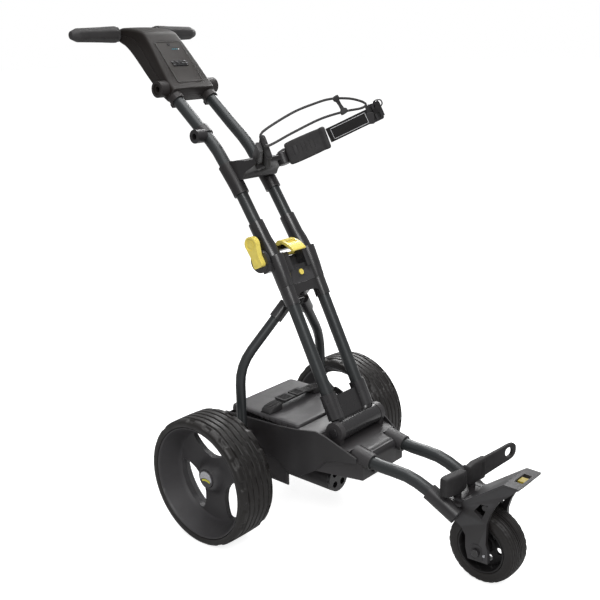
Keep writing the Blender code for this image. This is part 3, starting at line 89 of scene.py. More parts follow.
class Material:
    """A Principled material whose colour, roughness and relief are chained from textures."""

    def __init__(self, name, color, roughness, metallic=0.0, specular=0.5, coat=0.0, sheen=0.0):
        material = LOOKS[name] = bpy.data.materials.new(name)
        material.use_nodes = True
        material.diffuse_color = (*color, 1)
        self.tree = material.node_tree
        self.shader = self.tree.nodes["Principled BSDF"]
        self.color = (*color, 1)
        self.normal = None
        self.fill(self.shader, {
            "Base Color": self.color, "Roughness": roughness, "Metallic": metallic,
            "Specular IOR Level": specular, "Coat Weight": coat, "Coat Roughness": 0.15,
            "Sheen Weight": sheen})
        self.places = self.node("ShaderNodeTexCoord")

    def fill(self, node, inputs):
        """Link the sockets and set the plain values."""
        for key, value in inputs.items():
            if isinstance(value, bpy.types.NodeSocket):
                self.tree.links.new(value, node.inputs[key])
            else:
                node.inputs[key].default_value = value

    def node(self, kind, inputs={}, **settings):
        node = self.tree.nodes.new(kind)
        for key, value in settings.items():
            setattr(node, key, value)
        self.fill(node, inputs)
        return node

    def coords(self, scale=(1, 1, 1), space="Object"):
        inputs = {"Scale": scale, "Vector": self.places.outputs[space]}
        return self.node("ShaderNodeMapping", inputs).outputs["Vector"]

    def noise(self, scale, detail):
        node = self.node("ShaderNodeTexNoise",
                         {"Scale": scale, "Detail": detail, "Roughness": 0.55})
        self.fill(node, {"Vector": self.coords()})
        return node.outputs["Fac"]

    def wave(self, scale, axis="X", distortion=0.0, vector=None):
        node = self.node("ShaderNodeTexWave", {"Scale": scale, "Distortion": distortion},
                         bands_direction=axis)
        self.fill(node, {"Vector": vector or self.coords()})
        return node.outputs["Fac"]

    def math(self, operation, first, second):
        return self.node("ShaderNodeMath", {0: first, 1: second}, operation=operation).outputs[0]

    def tint(self, mask, color, low=0.35, high=0.65):
        """Mix the colour so far towards another one where the mask is high."""
        ramp = self.node("ShaderNodeMapRange",
                         {"Value": mask, "From Min": low, "From Max": high})
        mix = self.node("ShaderNodeMix", {
            "Factor": ramp.outputs[0], "A": self.color, "B": (*color, 1)}, data_type="RGBA")
        self.color = mix.outputs["Result"]
        self.fill(self.shader, {"Base Color": self.color})
        return self

    def mottle(self, color, scale, detail, low=0.35, high=0.65):
        return self.tint(self.noise(scale, detail), color, low, high)

    # Painted highlight: lighten the colour on convex edges, found by pointiness.
    def painted_edge_highlight(self, color):
        pointiness = self.node("ShaderNodeNewGeometry").outputs["Pointiness"]
        return self.tint(pointiness, color, low=0.52, high=0.6)

    def roughen(self, low, high, scale, detail):
        """Let the roughness wander between low and high."""
        ramp = self.node("ShaderNodeMapRange", {
            "Value": self.noise(scale, detail), "From Min": 0.3, "From Max": 0.7,
            "To Min": low, "To Max": high})
        self.fill(self.shader, {"Roughness": ramp.outputs[0]})
        return self

    def relief(self, height, strength, depth):
        bump = self.node("ShaderNodeBump",
                         {"Strength": strength, "Distance": depth, "Height": height})
        if self.normal is not None:
            self.fill(bump, {"Normal": self.normal})
        self.normal = bump.outputs["Normal"]
        self.fill(self.shader, {"Normal": self.normal})
        return self

    def grain(self, scale, detail, strength, depth):
        return self.relief(self.noise(scale, detail), strength, depth)

    def cells(self, scale, strength, depth):
        node = self.node("ShaderNodeTexVoronoi", {"Scale": scale})
        self.fill(node, {"Vector": self.coords()})
        return self.relief(node.outputs["Distance"], strength, depth)

    def weave(self, first, second, color, strength, depth):
        """Two crossing wave textures: colour where they meet, relief from their sum."""
        self.tint(self.math("MULTIPLY", first, second), color, low=0.2, high=0.7)
        return self.relief(self.math("ADD", first, second), strength, depth)


# In the materials below, the lighter colour given to the edge step is a painted edge highlight.
# plastics
(Material("satin_plastic", (0.0135, 0.0122, 0.013), roughness=0.4, specular=0.4)
 .mottle((0.0185, 0.0168, 0.0176), scale=9, detail=4)
 .roughen(low=0.32, high=0.46, scale=14, detail=3)
 .grain(scale=900, detail=2, strength=0.1, depth=0.0004)
 .cells(scale=520, strength=0.05, depth=0.0003).painted_edge_highlight((0.035, 0.034, 0.036)))
(Material("gloss_block", (0.0098, 0.0092, 0.01), roughness=0.24, coat=0.15)
 .mottle((0.014, 0.0132, 0.0142), scale=11, detail=4)
 .roughen(low=0.2, high=0.32, scale=22, detail=3)
 .grain(scale=260, detail=2, strength=0.04, depth=0.0006).painted_edge_highlight((0.035, 0.034, 0.036)))
(Material("chassis_plastic", (0.0225, 0.0205, 0.0215), roughness=0.46, specular=0.4)
 .mottle((0.029, 0.027, 0.0282), scale=7, detail=4)
 .roughen(low=0.4, high=0.54, scale=18, detail=3)
 .cells(scale=760, strength=0.14, depth=0.0003)
 .grain(scale=40, detail=2, strength=0.03, depth=0.001).painted_edge_highlight((0.05, 0.048, 0.05)))
(Material("handle_shell", (0.013, 0.0104, 0.0092), roughness=0.46, specular=0.22)
 .mottle((0.0155, 0.0128, 0.0116), scale=10, detail=3)
 .roughen(low=0.4, high=0.52, scale=25, detail=3)
 .cells(scale=900, strength=0.1, depth=0.0003).painted_edge_highlight((0.05, 0.047, 0.049)))
(Material("panel_gloss", (0.018, 0.015, 0.0134), roughness=0.32, specular=0.34, coat=0.12)
 .mottle((0.0215, 0.0182, 0.0164), scale=30, detail=3)
 .grain(scale=160, detail=2, strength=0.02, depth=0.0005))
# painted tubes and rims
(Material("tube_paint", (0.027, 0.0288, 0.0298), roughness=0.38, metallic=0.4, specular=0.45,
          coat=0.1)
 .mottle((0.046, 0.051, 0.053), scale=2600, detail=1, low=0.45, high=0.75)
 .mottle((0.027, 0.0305, 0.032), scale=12, detail=3, low=0.4, high=0.8)
 .roughen(low=0.31, high=0.44, scale=30, detail=3)
 .grain(scale=1500, detail=2, strength=0.05, depth=0.0003))
(Material("rim_grey", (0.053, 0.051, 0.0535), roughness=0.52, metallic=0.15, specular=0.4)
 .mottle((0.047, 0.0452, 0.048), scale=16, detail=4)
 .mottle((0.058, 0.056, 0.059), scale=1800, detail=1, low=0.55, high=0.8)
 .roughen(low=0.44, high=0.58, scale=20, detail=3)
 .grain(scale=1300, detail=2, strength=0.07, depth=0.0003).painted_edge_highlight((0.09, 0.088, 0.09)))
# rubbers
(Material("tyre_rubber", (0.01, 0.0084, 0.008), roughness=0.44, specular=0.36)
 .mottle((0.013, 0.0118, 0.0112), scale=26, detail=5, low=0.4, high=0.75)
 .mottle((0.0075, 0.0067, 0.0064), scale=5, detail=3, low=0.45, high=0.7)
 .roughen(low=0.38, high=0.54, scale=34, detail=4)
 .grain(scale=700, detail=3, strength=0.16, depth=0.0004).painted_edge_highlight((0.024, 0.022, 0.021)))
grip = Material("grip_rubber", (0.02, 0.0188, 0.0194), roughness=0.62, specular=0.35, sheen=0.05)
(grip.mottle((0.027, 0.0255, 0.026), scale=40, detail=4)
 .cells(scale=1100, strength=0.3, depth=0.0003)
 .relief(grip.wave(scale=210), strength=0.08, depth=0.0003).painted_edge_highlight((0.05, 0.048, 0.05)))
(Material("pad_rubber", (0.015, 0.0142, 0.0148), roughness=0.66, specular=0.32)
 .mottle((0.022, 0.0208, 0.0216), scale=55, detail=4)
 .grain(scale=1200, detail=3, strength=0.25, depth=0.0003).painted_edge_highlight((0.036, 0.035, 0.036)))
# bright details
(Material("yellow_plastic", (0.78, 0.64, 0.12), roughness=0.36, coat=0.15)
 .mottle((0.7, 0.565, 0.1), scale=60, detail=3)
 .mottle((0.8, 0.66, 0.15), scale=9, detail=2, low=0.4, high=0.8)
 .roughen(low=0.3, high=0.44, scale=90, detail=3)
 .cells(scale=900, strength=0.1, depth=0.0003))
(Material("silver_cap", (0.42, 0.42, 0.44), roughness=0.34, metallic=0.7)
 .mottle((0.36, 0.36, 0.38), scale=300, detail=2)
 .roughen(low=0.24, high=0.36, scale=120, detail=2)
 .grain(scale=800, detail=2, strength=0.04, depth=0.0003))
(Material("white_ink", (0.72, 0.72, 0.74), roughness=0.45)
 .mottle((0.64, 0.64, 0.66), scale=400, detail=2)
 .grain(scale=900, detail=2, strength=0.05, depth=0.0002))
(Material("yellow_ink", (0.62, 0.57, 0.035), roughness=0.42)
 .mottle((0.54, 0.5, 0.03), scale=400, detail=2)
 .grain(scale=900, detail=2, strength=0.05, depth=0.0002))
# bare metals
steel = Material("steel", (0.5, 0.5, 0.51), roughness=0.3, metallic=1.0)
(steel.mottle((0.4, 0.4, 0.42), scale=90, detail=3)
 .roughen(low=0.24, high=0.42, scale=300, detail=2)
 .relief(steel.wave(scale=420, distortion=0.6), strength=0.06, depth=0.0003))
(Material("cast_metal", (0.3, 0.3, 0.31), roughness=0.52, metallic=0.9)
 .mottle((0.24, 0.24, 0.25), scale=60, detail=4)
 .grain(scale=420, detail=4, strength=0.35, depth=0.0006))
(Material("bronze", (0.55, 0.38, 0.14), roughness=0.32, metallic=1.0)
 .mottle((0.46, 0.31, 0.11), scale=90, detail=3)
 .grain(scale=500, detail=2, strength=0.08, depth=0.0003))
(Material("battery_shell", (0.04, 0.0378, 0.04), roughness=0.46, specular=0.45)
 .mottle((0.048, 0.0455, 0.0478), scale=9, detail=4)
 .roughen(low=0.42, high=0.56, scale=30, detail=3)
 .cells(scale=420, strength=0.22, depth=0.0005)
 .grain(scale=900, detail=2, strength=0.08, depth=0.0003).painted_edge_highlight((0.075, 0.072, 0.075)))
# woven
webbing = Material("webbing", (0.009, 0.0085, 0.0088), roughness=0.8, specular=0.22, sheen=0.12)
(webbing.weave(webbing.wave(scale=430, axis="X"), webbing.wave(scale=430, axis="Z"),
               (0.019, 0.0182, 0.0186), strength=0.35, depth=0.0005)
 .grain(scale=1500, detail=2, strength=0.12, depth=0.0003))
braid = Material("braided_cord", (0.0125, 0.0118, 0.0122), roughness=0.72, specular=0.3, sheen=0.2)
braid.weave(*[braid.wave(scale=1.0, vector=braid.coords(scale=(150, slant, 1), space="UV"))
              for slant in (8, -8)], (0.036, 0.034, 0.035), strength=0.5, depth=0.0006)
# the rest
(Material("led_teal", (0.03, 0.22, 0.3), roughness=0.25, specular=0.6, coat=0.4)
 .mottle((0.05, 0.32, 0.42), scale=300, detail=2)
 .grain(scale=600, detail=2, strength=0.05, depth=0.0003))
(Material("front_wheel_plastic", (0.0068, 0.0063, 0.0066), roughness=0.46, specular=0.3)
 .mottle((0.0125, 0.0118, 0.0122), scale=9, detail=4)
 .roughen(low=0.4, high=0.52, scale=14, detail=3)
 .grain(scale=900, detail=2, strength=0.1, depth=0.0004).painted_edge_highlight((0.026, 0.025, 0.026)))
# The key's yellow darkened to olive: painted shade of its recess in the shelf.
(Material("key_yellow_painted_shade", (0.3, 0.235, 0.03), roughness=0.42, specular=0.4)
 .mottle((0.26, 0.2, 0.022), scale=60, detail=3)
 .cells(scale=900, strength=0.1, depth=0.0003))
paper = Material("pale_floor", (0.6, 0.6, 0.6), roughness=0.65, specular=0.1)
(paper.mottle((0.585, 0.585, 0.585), scale=3, detail=3)
 .grain(scale=60, detail=3, strength=0.02, depth=0.001))
seen = paper.node("ShaderNodeLightPath")                # glows like white paper to the camera only
paper.fill(paper.shader, {
    "Emission Color": (1, 1, 1, 1),
    "Emission Strength": paper.math("MULTIPLY", seen.outputs["Is Camera Ray"], 0.82)})


# ------------------------------------------------------------------ meshes and booleans
def mesh_object(shape, flatten=True):
    """Object from a bmesh. flatten splits warped faces into triangles, for clean booleans."""
    if flatten:
        shape.normal_update()
        warped = [f for f in shape.faces if len(f.verts) > 3 and
                  max(abs((v.co - f.verts[0].co).dot(f.normal)) for v in f.verts) > 1e-6]
        bmesh.ops.triangulate(shape, faces=warped)
    bmesh.ops.recalc_face_normals(shape, faces=shape.faces)
    mesh = bpy.data.meshes.new("tool")
    shape.to_mesh(mesh)
    shape.free()
    ob = bpy.data.objects.new("tool", mesh)
    COLLECTION.objects.link(ob)
    return ob


def boolean(target, operation, tools):
    """Apply the tools to the target in order and remove them."""
    for tool in tools:
        modifier = target.modifiers.new("b", "BOOLEAN")
        modifier.operation = operation
        modifier.solver = "EXACT"
        modifier.object = tool
    depsgraph = bpy.context.evaluated_depsgraph_get()
    depsgraph.update()
    mesh = bpy.data.meshes.new_from_object(target.evaluated_get(depsgraph))
    target.modifiers.clear()
    old = target.data
    target.data = mesh
    bpy.data.meshes.remove(old)
    for tool in tools:
        mesh = tool.data
        bpy.data.objects.remove(tool, do_unlink=True)
        bpy.data.meshes.remove(mesh)
    return target


def join(target, *tools):
    return boolean(target, "UNION", tools)


def cut(target, *tools):
    return boolean(target, "DIFFERENCE", tools)


def weld(ob, distance, sliver, smooth=False):
    """Merge near-double points and dissolve slivers."""
    shape = bmesh.new()
    shape.from_mesh(ob.data)
    bmesh.ops.remove_doubles(shape, verts=shape.verts, dist=distance)
    bmesh.ops.dissolve_degenerate(shape, edges=shape.edges, dist=sliver)
    if smooth:
        for face in shape.faces:
            face.smooth = True
    shape.to_mesh(ob.data)
    shape.free()
    return ob


def tidy(ob):
    return weld(ob, 0.00015, 0.00015 * 0.5)


def finish(ob, name, look, body, bevel, angle, segments):
    """Name, shade, edge-round and paint a piece, and let it ride on its body."""
    weld(ob, 0.000004, 0.000004, smooth=True)
    ob.name = name
    ob.data.name = name
    ob.data.materials.clear()
    ob.data.materials.append(LOOKS[look])
    ob.data.set_sharp_from_angle(angle=math.radians(angle))
    if bevel:
        edge = ob.modifiers.new("edge", "BEVEL")
        edge.width = bevel
        edge.segments = segments
        edge.limit_method = "ANGLE"
        edge.angle_limit = math.radians(angle)
        edge.use_clamp_overlap = True
        edge.harden_normals = True
    PIECES.append(ob)
    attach(ob, body)


def fine(ob, node, look, bevel=0.0, angle=35, body=None, segments=2):
    """A piece that replaces a CAD node."""
    finish(ob, node + "_fine", look, body or BODY_OF[node], bevel, angle, segments)
    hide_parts(node)


def extra(ob, name, look, body, bevel=0.0, angle=35):
    """An added detail that rides on one of the frame's bodies."""
    finish(ob, name, look, body, bevel, angle, 2)


# ------------------------------------------------------------------ shapes
def across(side, inner, outer):
    """The x range between two distances from the middle, in rising order."""
    return sorted((side * inner, side * outer))


def box(x0, x1, y0, y1, z0, z1, bevel=0.0, segments=1):
    shape = bmesh.new()
    bmesh.ops.create_cube(shape, size=1)
    for v in shape.verts:
        v.co = vec(x0 if v.co.x < 0 else x1, y0 if v.co.y < 0 else y1, z0 if v.co.z < 0 else z1)
    if bevel:
        bmesh.ops.bevel(shape, geom=shape.edges[:], offset=bevel, segments=segments,
                        affect="EDGES", profile=0.5)
    return mesh_object(shape)


def square_to(vector, direction):
    """Unit part of a vector that is square to a unit direction."""
    return (vector - direction * vector.dot(direction)).normalized()


def basis(direction):
    direction = direction.normalized()
    first = square_to(vec(1, 0, 0) if abs(direction.x) < 0.9 else vec(0, 0, 1), direction)
    return first, direction.cross(first)


def ring(centre, first, second, radius, sides=32, second_radius=None):
    second_radius = radius if second_radius is None else second_radius
    angles = [2 * math.pi * (i + 0.5) / sides for i in range(sides)]
    return [centre + first * (radius * math.cos(a)) + second * (second_radius * math.sin(a))
            for a in angles]


def squared_ring(centre, first, second, sides):
    """A ring between an ellipse and a rectangle; each axis is (vector, half size, power)."""
    points = []
    for i in range(sides):
        angle = 2 * math.pi * (i + 0.5) / sides
        point = centre
        for (axis, half, power), t in ((first, math.cos(angle)), (second, math.sin(angle))):
            point = point + axis * (half * math.copysign(abs(t) ** power, t))
        points.append(point)
    return points


def loft(rings, closed=False, flatten=True, uv=False):
    """Skin a run of rings: closed joins the last to the first, an open run is capped."""
    shape = bmesh.new()
    rows = [[shape.verts.new(p) for p in points] for points in rings]
    sides = len(rings[0])
    spans = len(rows) if closed else len(rows) - 1
    layer = shape.loops.layers.uv.new("UVMap") if uv else None
    run = [0.0]
    for k in range(spans):
        run.append(run[-1] + (rings[(k + 1) % len(rings)][0] - rings[k][0]).length)
    for k in range(spans):
        here, there = rows[k], rows[(k + 1) % len(rows)]
        for i in range(sides):
            j = (i + 1) % sides
            face = shape.faces.new((here[i], here[j], there[j], there[i]))
            if uv:
                low_v, high_v = i / sides, (i + 1) / sides
                places = ((run[k], low_v), (run[k], high_v),
                          (run[k + 1], high_v), (run[k + 1], low_v))
                for corner, place in zip(face.loops, places):
                    corner[layer].uv = place
    if not closed:
        shape.faces.new(list(reversed(rows[0])))
        shape.faces.new(rows[-1])
    return mesh_object(shape, flatten)


def rod(start, end, radius, end_radius=None, sides=None):
    first, second = basis(end - start)
    sides = sides or (32 if radius < 0.006 else 40)
    return loft([ring(start, first, second, radius, sides),
                 ring(end, first, second, radius if end_radius is None else end_radius, sides)])


def x_rod(x0, x1, centre, radius, sides=None):
    """A rod along X; centre is (y, z)."""
    return rod(vec(x0, *centre), vec(x1, *centre), radius, sides=sides)


def z_rod(x, y, z0, z1, radius):
    return rod(vec(x, y, z0), vec(x, y, z1), radius)


def heading(points, i, closed=False):
    last = len(points) - 1
    ahead = points[(i + 1) % len(points)] if closed else points[min(i + 1, last)]
    behind = points[i - 1] if closed else points[max(i - 1, 0)]
    return (ahead - behind).normalized()


def path_rings(points, radius, sides=32, closed=False):
    """Rings along a path, turned as little as possible from one to the next."""
    rings, first = [], None
    for i, point in enumerate(points):
        direction = heading(points, i, closed)
        first = basis(direction)[0] if first is None else square_to(first, direction)
        rings.append(ring(point, first, direction.cross(first), radius, sides))
    return rings


def catmull_rom(a, b, c, d, t):
    return 0.5 * ((2 * b) + (c - a) * t + (2 * a - 5 * b + 4 * c - d) * t * t
                  + (3 * b - a - 3 * c + d) * t ** 3)


def spline(points, step=0.006, closed=False):
    """A smooth run of points through the given ones."""
    out, count = [], len(points)
    for i in range(count if closed else count - 1):
        if closed:
            a, b, c, d = (points[(i + k) % count] for k in (-1, 0, 1, 2))
        else:
            b, c = points[i], points[i + 1]
            a = points[i - 1] if i else b + (b - c)
            d = points[i + 2] if i + 2 < count else c + (c - b)
        pieces = max(1, int(round((c - b).length / step)))
        out += [catmull_rom(a, b, c, d, k / pieces) for k in range(pieces)]
    if not closed:
        out.append(points[-1].copy())
    return out


def sweep(points, radius, sides=32, closed=False, **options):
    return loft(path_rings(points, radius, sides, closed), closed, **options)


def pipe(points, radius, wall):
    outer, inner = path_rings(points, radius), path_rings(points, radius - wall)
    return loft(outer + inner[::-1], closed=True, flatten=False)


def prism(outline, x0, x1):
    """A (y, z) outline pushed along X."""
    return loft([[vec(x, y, z) for y, z in outline] for x in (x0, x1)])


def flat(points):
    return [(p.y, p.z) for p in points]


def corner_arc(before, corner, after, radius, steps):
    back, ahead = before - corner, after - corner
    reach = min(radius, back.length * 0.45, ahead.length * 0.45)
    start, end = corner + back.normalized() * reach, corner + ahead.normalized() * reach
    return [start * (1 - t) ** 2 + corner * 2 * t * (1 - t) + end * t * t
            for t in (k / steps for k in range(steps + 1))]


def rounded(outline, radius, steps=5):
    """Round the corners of a closed 2-D outline."""
    points = [Vector(p) for p in outline]
    return [(v.x, v.y) for i in range(len(points)) for v in corner_arc(
        points[i - 1], points[i], points[(i + 1) % len(points)], radius, steps)]


def round_path(points, radius, steps):
    """Round the inner corners of an open path."""
    out = [points[0]]
    for i in range(1, len(points) - 1):
        out += corner_arc(points[i - 1], points[i], points[i + 1], radius, steps)
    return out + [points[-1]]


def rectangle(x0, x1, y0, y1, radius, steps=4):
    return rounded([(x0, y0), (x1, y0), (x1, y1), (x0, y1)], radius, steps)


def turned(profile, centre, sides=64, axis="X"):
    """Turn a closed profile of (place on the axis, radius)."""
    rings = []
    for k in range(sides):
        angle = 2 * math.pi * k / sides
        c, s = math.cos(angle), math.sin(angle)
        rings.append([centre + (vec(a, r * c, r * s) if axis == "X" else vec(r * s, a, r * c))
                      for a, r in profile])
    return loft(rings, closed=True)


def band_rings(points, normal, half_width, half_thick, ends):
    """Sections of flat webbing; ends is the thickness left at its two edges, of 1."""
    section = ((-1, -ends), (-0.94, -1), (0.94, -1), (1, -ends),
               (1, ends), (0.94, 1), (-0.94, 1), (-1, ends))
    rings = []
    for i, point in enumerate(points):
        direction = heading(points, i)
        out = square_to(normal, direction)
        wide = direction.cross(out)
        rings.append([point + wide * (a * half_width) + out * (b * half_thick)
                      for a, b in section])
    return rings


def ribbon(points, normal, width, thick):
    """Flat webbing along a path, its face towards the normal."""
    return loft(band_rings(points, normal, width / 2, thick / 2, ends=0.6))


def low(along, off=0.0, x=0.0):
    """A point from its distance along the lower tubes, offset to their front, and x."""
    return vec(x, 0, 0) + LOW_P + LOW_D * along + LOW_N * off


def low_prism(outline, x0, x1):
    """A prism whose outline is (along, off) on the lower tubes."""
    return prism(flat(low(along, off) for along, off in outline), x0, x1)


def upper_path(side):
    return [vec(side * TUBE_X, y, z) for y, z in UPPER_LINE]


def smoothstep(low_edge, high_edge, x):
    t = min(max((x - low_edge) / (high_edge - low_edge), 0.0), 1.0)
    return t * t * (3 - 2 * t)


# ------------------------------------------------------------------ chassis
# tray: rear tub with a well above and a bay below, and a tapered front platform
TRAY_FRONT_Y, TRAY_INNER_X = -0.2915, 0.1045
FRONT_TUBE_X = 0.059
tray = box(-0.112, 0.112, -0.14, 0.078, 0.105, 0.236, 0.004)
join(tray, loft([[vec(-half, y, 0.16), vec(half, y, 0.16), vec(half, y, 0.2), vec(-half, y, 0.2)]
                 for half, y in ((0.11, -0.139), (0.0725, TRAY_FRONT_Y))]))
cut(tray, box(-0.1085, 0.1085, -0.135, 0.0745, 0.1675, 0.3),
    box(-TRAY_INNER_X, TRAY_INNER_X, -0.3, 0.0705, 0.05, 0.1585),
    box(-0.2, 0.2, -0.31, -0.108, 0.05, 0.1585),
    box(-TRAY_INNER_X, TRAY_INNER_X, -0.03, 0.0705, 0.05, 0.1645),
    x_rod(-0.2, 0.2, AXLE, 0.0125))
for x in (FRONT_TUBE_X, -FRONT_TUBE_X):                 # collars for the front tubes
    join(tray, rod(vec(x, -0.262, 0.212), vec(x, -0.3075, 0.203), 0.0185),
         box(x - 0.012, x + 0.012, -0.288, -0.262, 0.17, 0.2))
for x in (FRONT_TUBE_X, -FRONT_TUBE_X):
    cut(tray, rod(vec(x, -0.2655, 0.2113), vec(x, -0.3175, 0.2003), BORE_R + 0.0006))
fine(tray, "chassis_tray", "chassis_plastic", bevel=0.0016)

# deck: a bent cover in front of the battery that carries the hinge lugs
DECK_LINE = [                                           # lower y, z and upper y, z
    (-0.1425, 0.247, -0.1425, 0.2515), (-0.189, 0.247, -0.187, 0.2515),
    (-0.1955, 0.244, -0.1925, 0.2485), (-0.204, 0.223, -0.2, 0.2275),
    (-0.245, 0.2215, -0.245, 0.226), (TRAY_FRONT_Y, 0.211, TRAY_FRONT_Y, 0.2155)]


def deck_half(y):
    """Half width of the deck: straight at the back, tapering to the front."""
    if y > -0.15:
        return 0.1085
    return 0.1085 - (0.1085 - 0.0735) * (-0.15 - y) / (0.2915 - 0.15)


deck = loft([[vec(-deck_half(ya), ya, za), vec(deck_half(ya), ya, za),
              vec(deck_half(yb), yb, zb), vec(-deck_half(yb), yb, zb)]
             for ya, za, yb, zb in DECK_LINE])
cuts = []
for _, side in SIDES:
    join(deck, x_rod(side * 0.064, side * 0.078, BARREL.yz, BARREL_R),
         box(*across(side, 0.064, 0.078), -0.2347, -0.2043, 0.2163, 0.2497))
    cuts += [x_rod(side * 0.055, side * 0.09, BARREL.yz, 0.0064),
             box(*across(side, 0.0395, 0.09), -0.32, -0.2605, 0.19, 0.24)]
fine(cut(deck, *cuts), "chassis_deck", "chassis_plastic", bevel=0.001)

pin = join(x_rod(-0.0785, 0.0785, BARREL.yz, 0.006), x_rod(-0.0815, -0.0783, BARREL.yz, 0.0105))
fine(pin, "base_hinge_pin", "gloss_block", bevel=0.0006)

# side panels: outside covers that close in towards the front, with the stay pivot stud
PANEL_THICK = 0.0042
PANEL_STATIONS = [                                      # y, inner x, top z, bottom z
    (0.078, 0.1128, 0.24, 0.166), (-0.085, 0.1128, 0.248, 0.166),
    (-0.1115, 0.1128, 0.2505, 0.1455), (-0.142, 0.1133, 0.2535, 0.139),
    (-0.187, 0.101, 0.257, 0.164), (-0.2096, 0.0952, 0.249, 0.1895),
    (-0.24, 0.088, 0.233, 0.197), (-0.2805, 0.0784, 0.212, 0.199)]
for name, side in SIDES:
    panel = loft([[vec(side * x, y, bottom), vec(side * x, y, top),
                   vec(side * (x + PANEL_THICK), y, top - 0.001),
                   vec(side * (x + PANEL_THICK), y, bottom)]
                  for y, x, top, bottom in PANEL_STATIONS])
    join(panel, x_rod(side * 0.1148, side * 0.1255, STAY_PIVOT.yz, 0.0115),
         x_rod(side * 0.118, side * 0.153, STAY_PIVOT.yz, 0.0045))
    fine(panel, "side_panel_" + name, "satin_plastic", bevel=0.001, angle=25)

FRONT_TUBE_LINE = [                                     # x, y, z from the tray to the fork
    (0.059, -0.2665, 0.211), (0.059, -0.3, 0.204), (0.059, -0.33, 0.2012),
    (0.0588, -0.363, 0.201), (0.0583, -0.395, 0.1995), (0.0577, -0.42, 0.1935),
    (0.057, -0.447, 0.183), (0.056, -0.49, 0.159)]
for name, side in SIDES:
    path = [vec(side * x, y, z) for x, y, z in FRONT_TUBE_LINE]
    fine(pipe(path, TUBE_R, TUBE_WALL), "front_tube_" + name, "tube_paint", angle=50)

# front fork: side plates with sleeves, inclined shelf with a flat lip, and cradle pegs
CRADLE_X, CRADLE_Y = 0.027, -0.496
FORK_PLATE = [                                          # y, z
    (-0.5181, 0.1745), (-0.6085, 0.2436), (-0.6385, 0.243), (-0.6376, 0.2395),
    (-0.6217, 0.2233), (-0.5988, 0.2019), (-0.5891, 0.1848), (-0.5811, 0.1681),
    (-0.5749, 0.1467), (-0.574, 0.1005), (-0.579, 0.085), (-0.58, 0.059), (-0.535, 0.056),
    (-0.5285, 0.0795), (-0.5276, 0.1062), (-0.5179, 0.1207), (-0.48, 0.143), (-0.49, 0.176)]
FORK_SHELF = [(-0.514, 0.1745), (-0.52, 0.17), (-0.609, 0.2385), (-0.6385, 0.2385),
              (-0.6395, 0.243), (-0.608, 0.2436)]
FORK_BRIDGE = [(-0.478, 0.162), (-0.5195, 0.1692), (-0.5148, 0.1738), (-0.482, 0.176)]
FORK_WINDOW = [(-0.545, 0.1655), (-0.559, 0.185), (-0.576, 0.187), (-0.57, 0.17),
               (-0.563, 0.153), (-0.5545, 0.16)]
parts, bores, pegs = [], [], []
for _, side in SIDES:
    parts += [prism(FORK_PLATE, *across(side, 0.0365, 0.0455)),
              rod(vec(side * 0.0577, -0.449, 0.1822), vec(side * 0.0545, -0.513, 0.1462), 0.0178)]
    start, end = (vec(side * x, y, z) for x, y, z in FRONT_TUBE_LINE[-2:])
    along = (end - start).normalized()
    bores.append(rod(start - along * 0.012, end + along * 0.006, BORE_R + 0.0004))
    pegs += [z_rod(side * CRADLE_X, CRADLE_Y, 0.17, 0.1795, 0.0085),
             z_rod(side * CRADLE_X, CRADLE_Y, 0.17, 0.212, 0.0035)]
fork = join(*parts, prism(FORK_SHELF, -0.046, 0.046), prism(FORK_BRIDGE, -0.055, 0.055))
cut(fork, prism(FORK_WINDOW, -0.07, 0.07), box(-0.02, 0.02, -0.6335, -0.616, 0.2, 0.26),
    x_rod(-0.07, 0.07, FRONT.yz, 0.0052), *bores)
fine(join(fork, *pegs), "front_fork", "satin_plastic", bevel=0.0009, angle=32)

# The shelf key takes the darkened yellow, a painted shade of its recess.
key = join(box(-0.009, 0.011, -0.6328, -0.6167, 0.234, 0.2412, 0.001),
           box(-0.0197, 0.0197, -0.6331, -0.6164, 0.2315, 0.235))
fine(key, "shelf_key", "key_yellow_painted_shade", bevel=0.0007)

bolt = join(x_rod(-0.052, 0.052, FRONT.yz, 0.0048), x_rod(-0.052, -0.046, FRONT.yz, 0.008),
            x_rod(0.046, 0.052, FRONT.yz, 0.0085, sides=32))
fine(bolt, "front_axle_bolt", "gloss_block", bevel=0.0006)

# motor: open can and a front cap with four holes
MOTOR_X, MOTOR_Z, MOTOR_R, MOTOR_END = -0.038, 0.124, 0.0325, -0.197
can = turned([(MOTOR_END + 0.008, 0.03), (MOTOR_END + 0.008, MOTOR_R), (-0.033, MOTOR_R),
              (-0.033, 0.03)], vec(MOTOR_X, 0, MOTOR_Z), axis="Y")
fine(can, "motor_can", "satin_plastic", bevel=0.0008)


def motor_rod(start, end, radius, x=MOTOR_X, z=MOTOR_Z):
    """A rod along Y, measured back from the motor's front end."""
    return rod(vec(x, MOTOR_END + start, z), vec(x, MOTOR_END + end, z), radius)


cap = join(motor_rod(0, 0.0077, MOTOR_R - 0.0005), motor_rod(0.007, 0.012, 0.0294))
cuts = []
for k in range(4):
    angle = math.pi / 4 + k * math.pi / 2
    cuts.append(motor_rod(-0.01, 0.02, 0.0075, MOTOR_X + 0.018 * math.cos(angle),
                          MOTOR_Z + 0.018 * math.sin(angle)))
fine(cut(cap, *cuts), "motor_end_cap", "gloss_block", bevel=0.0007)

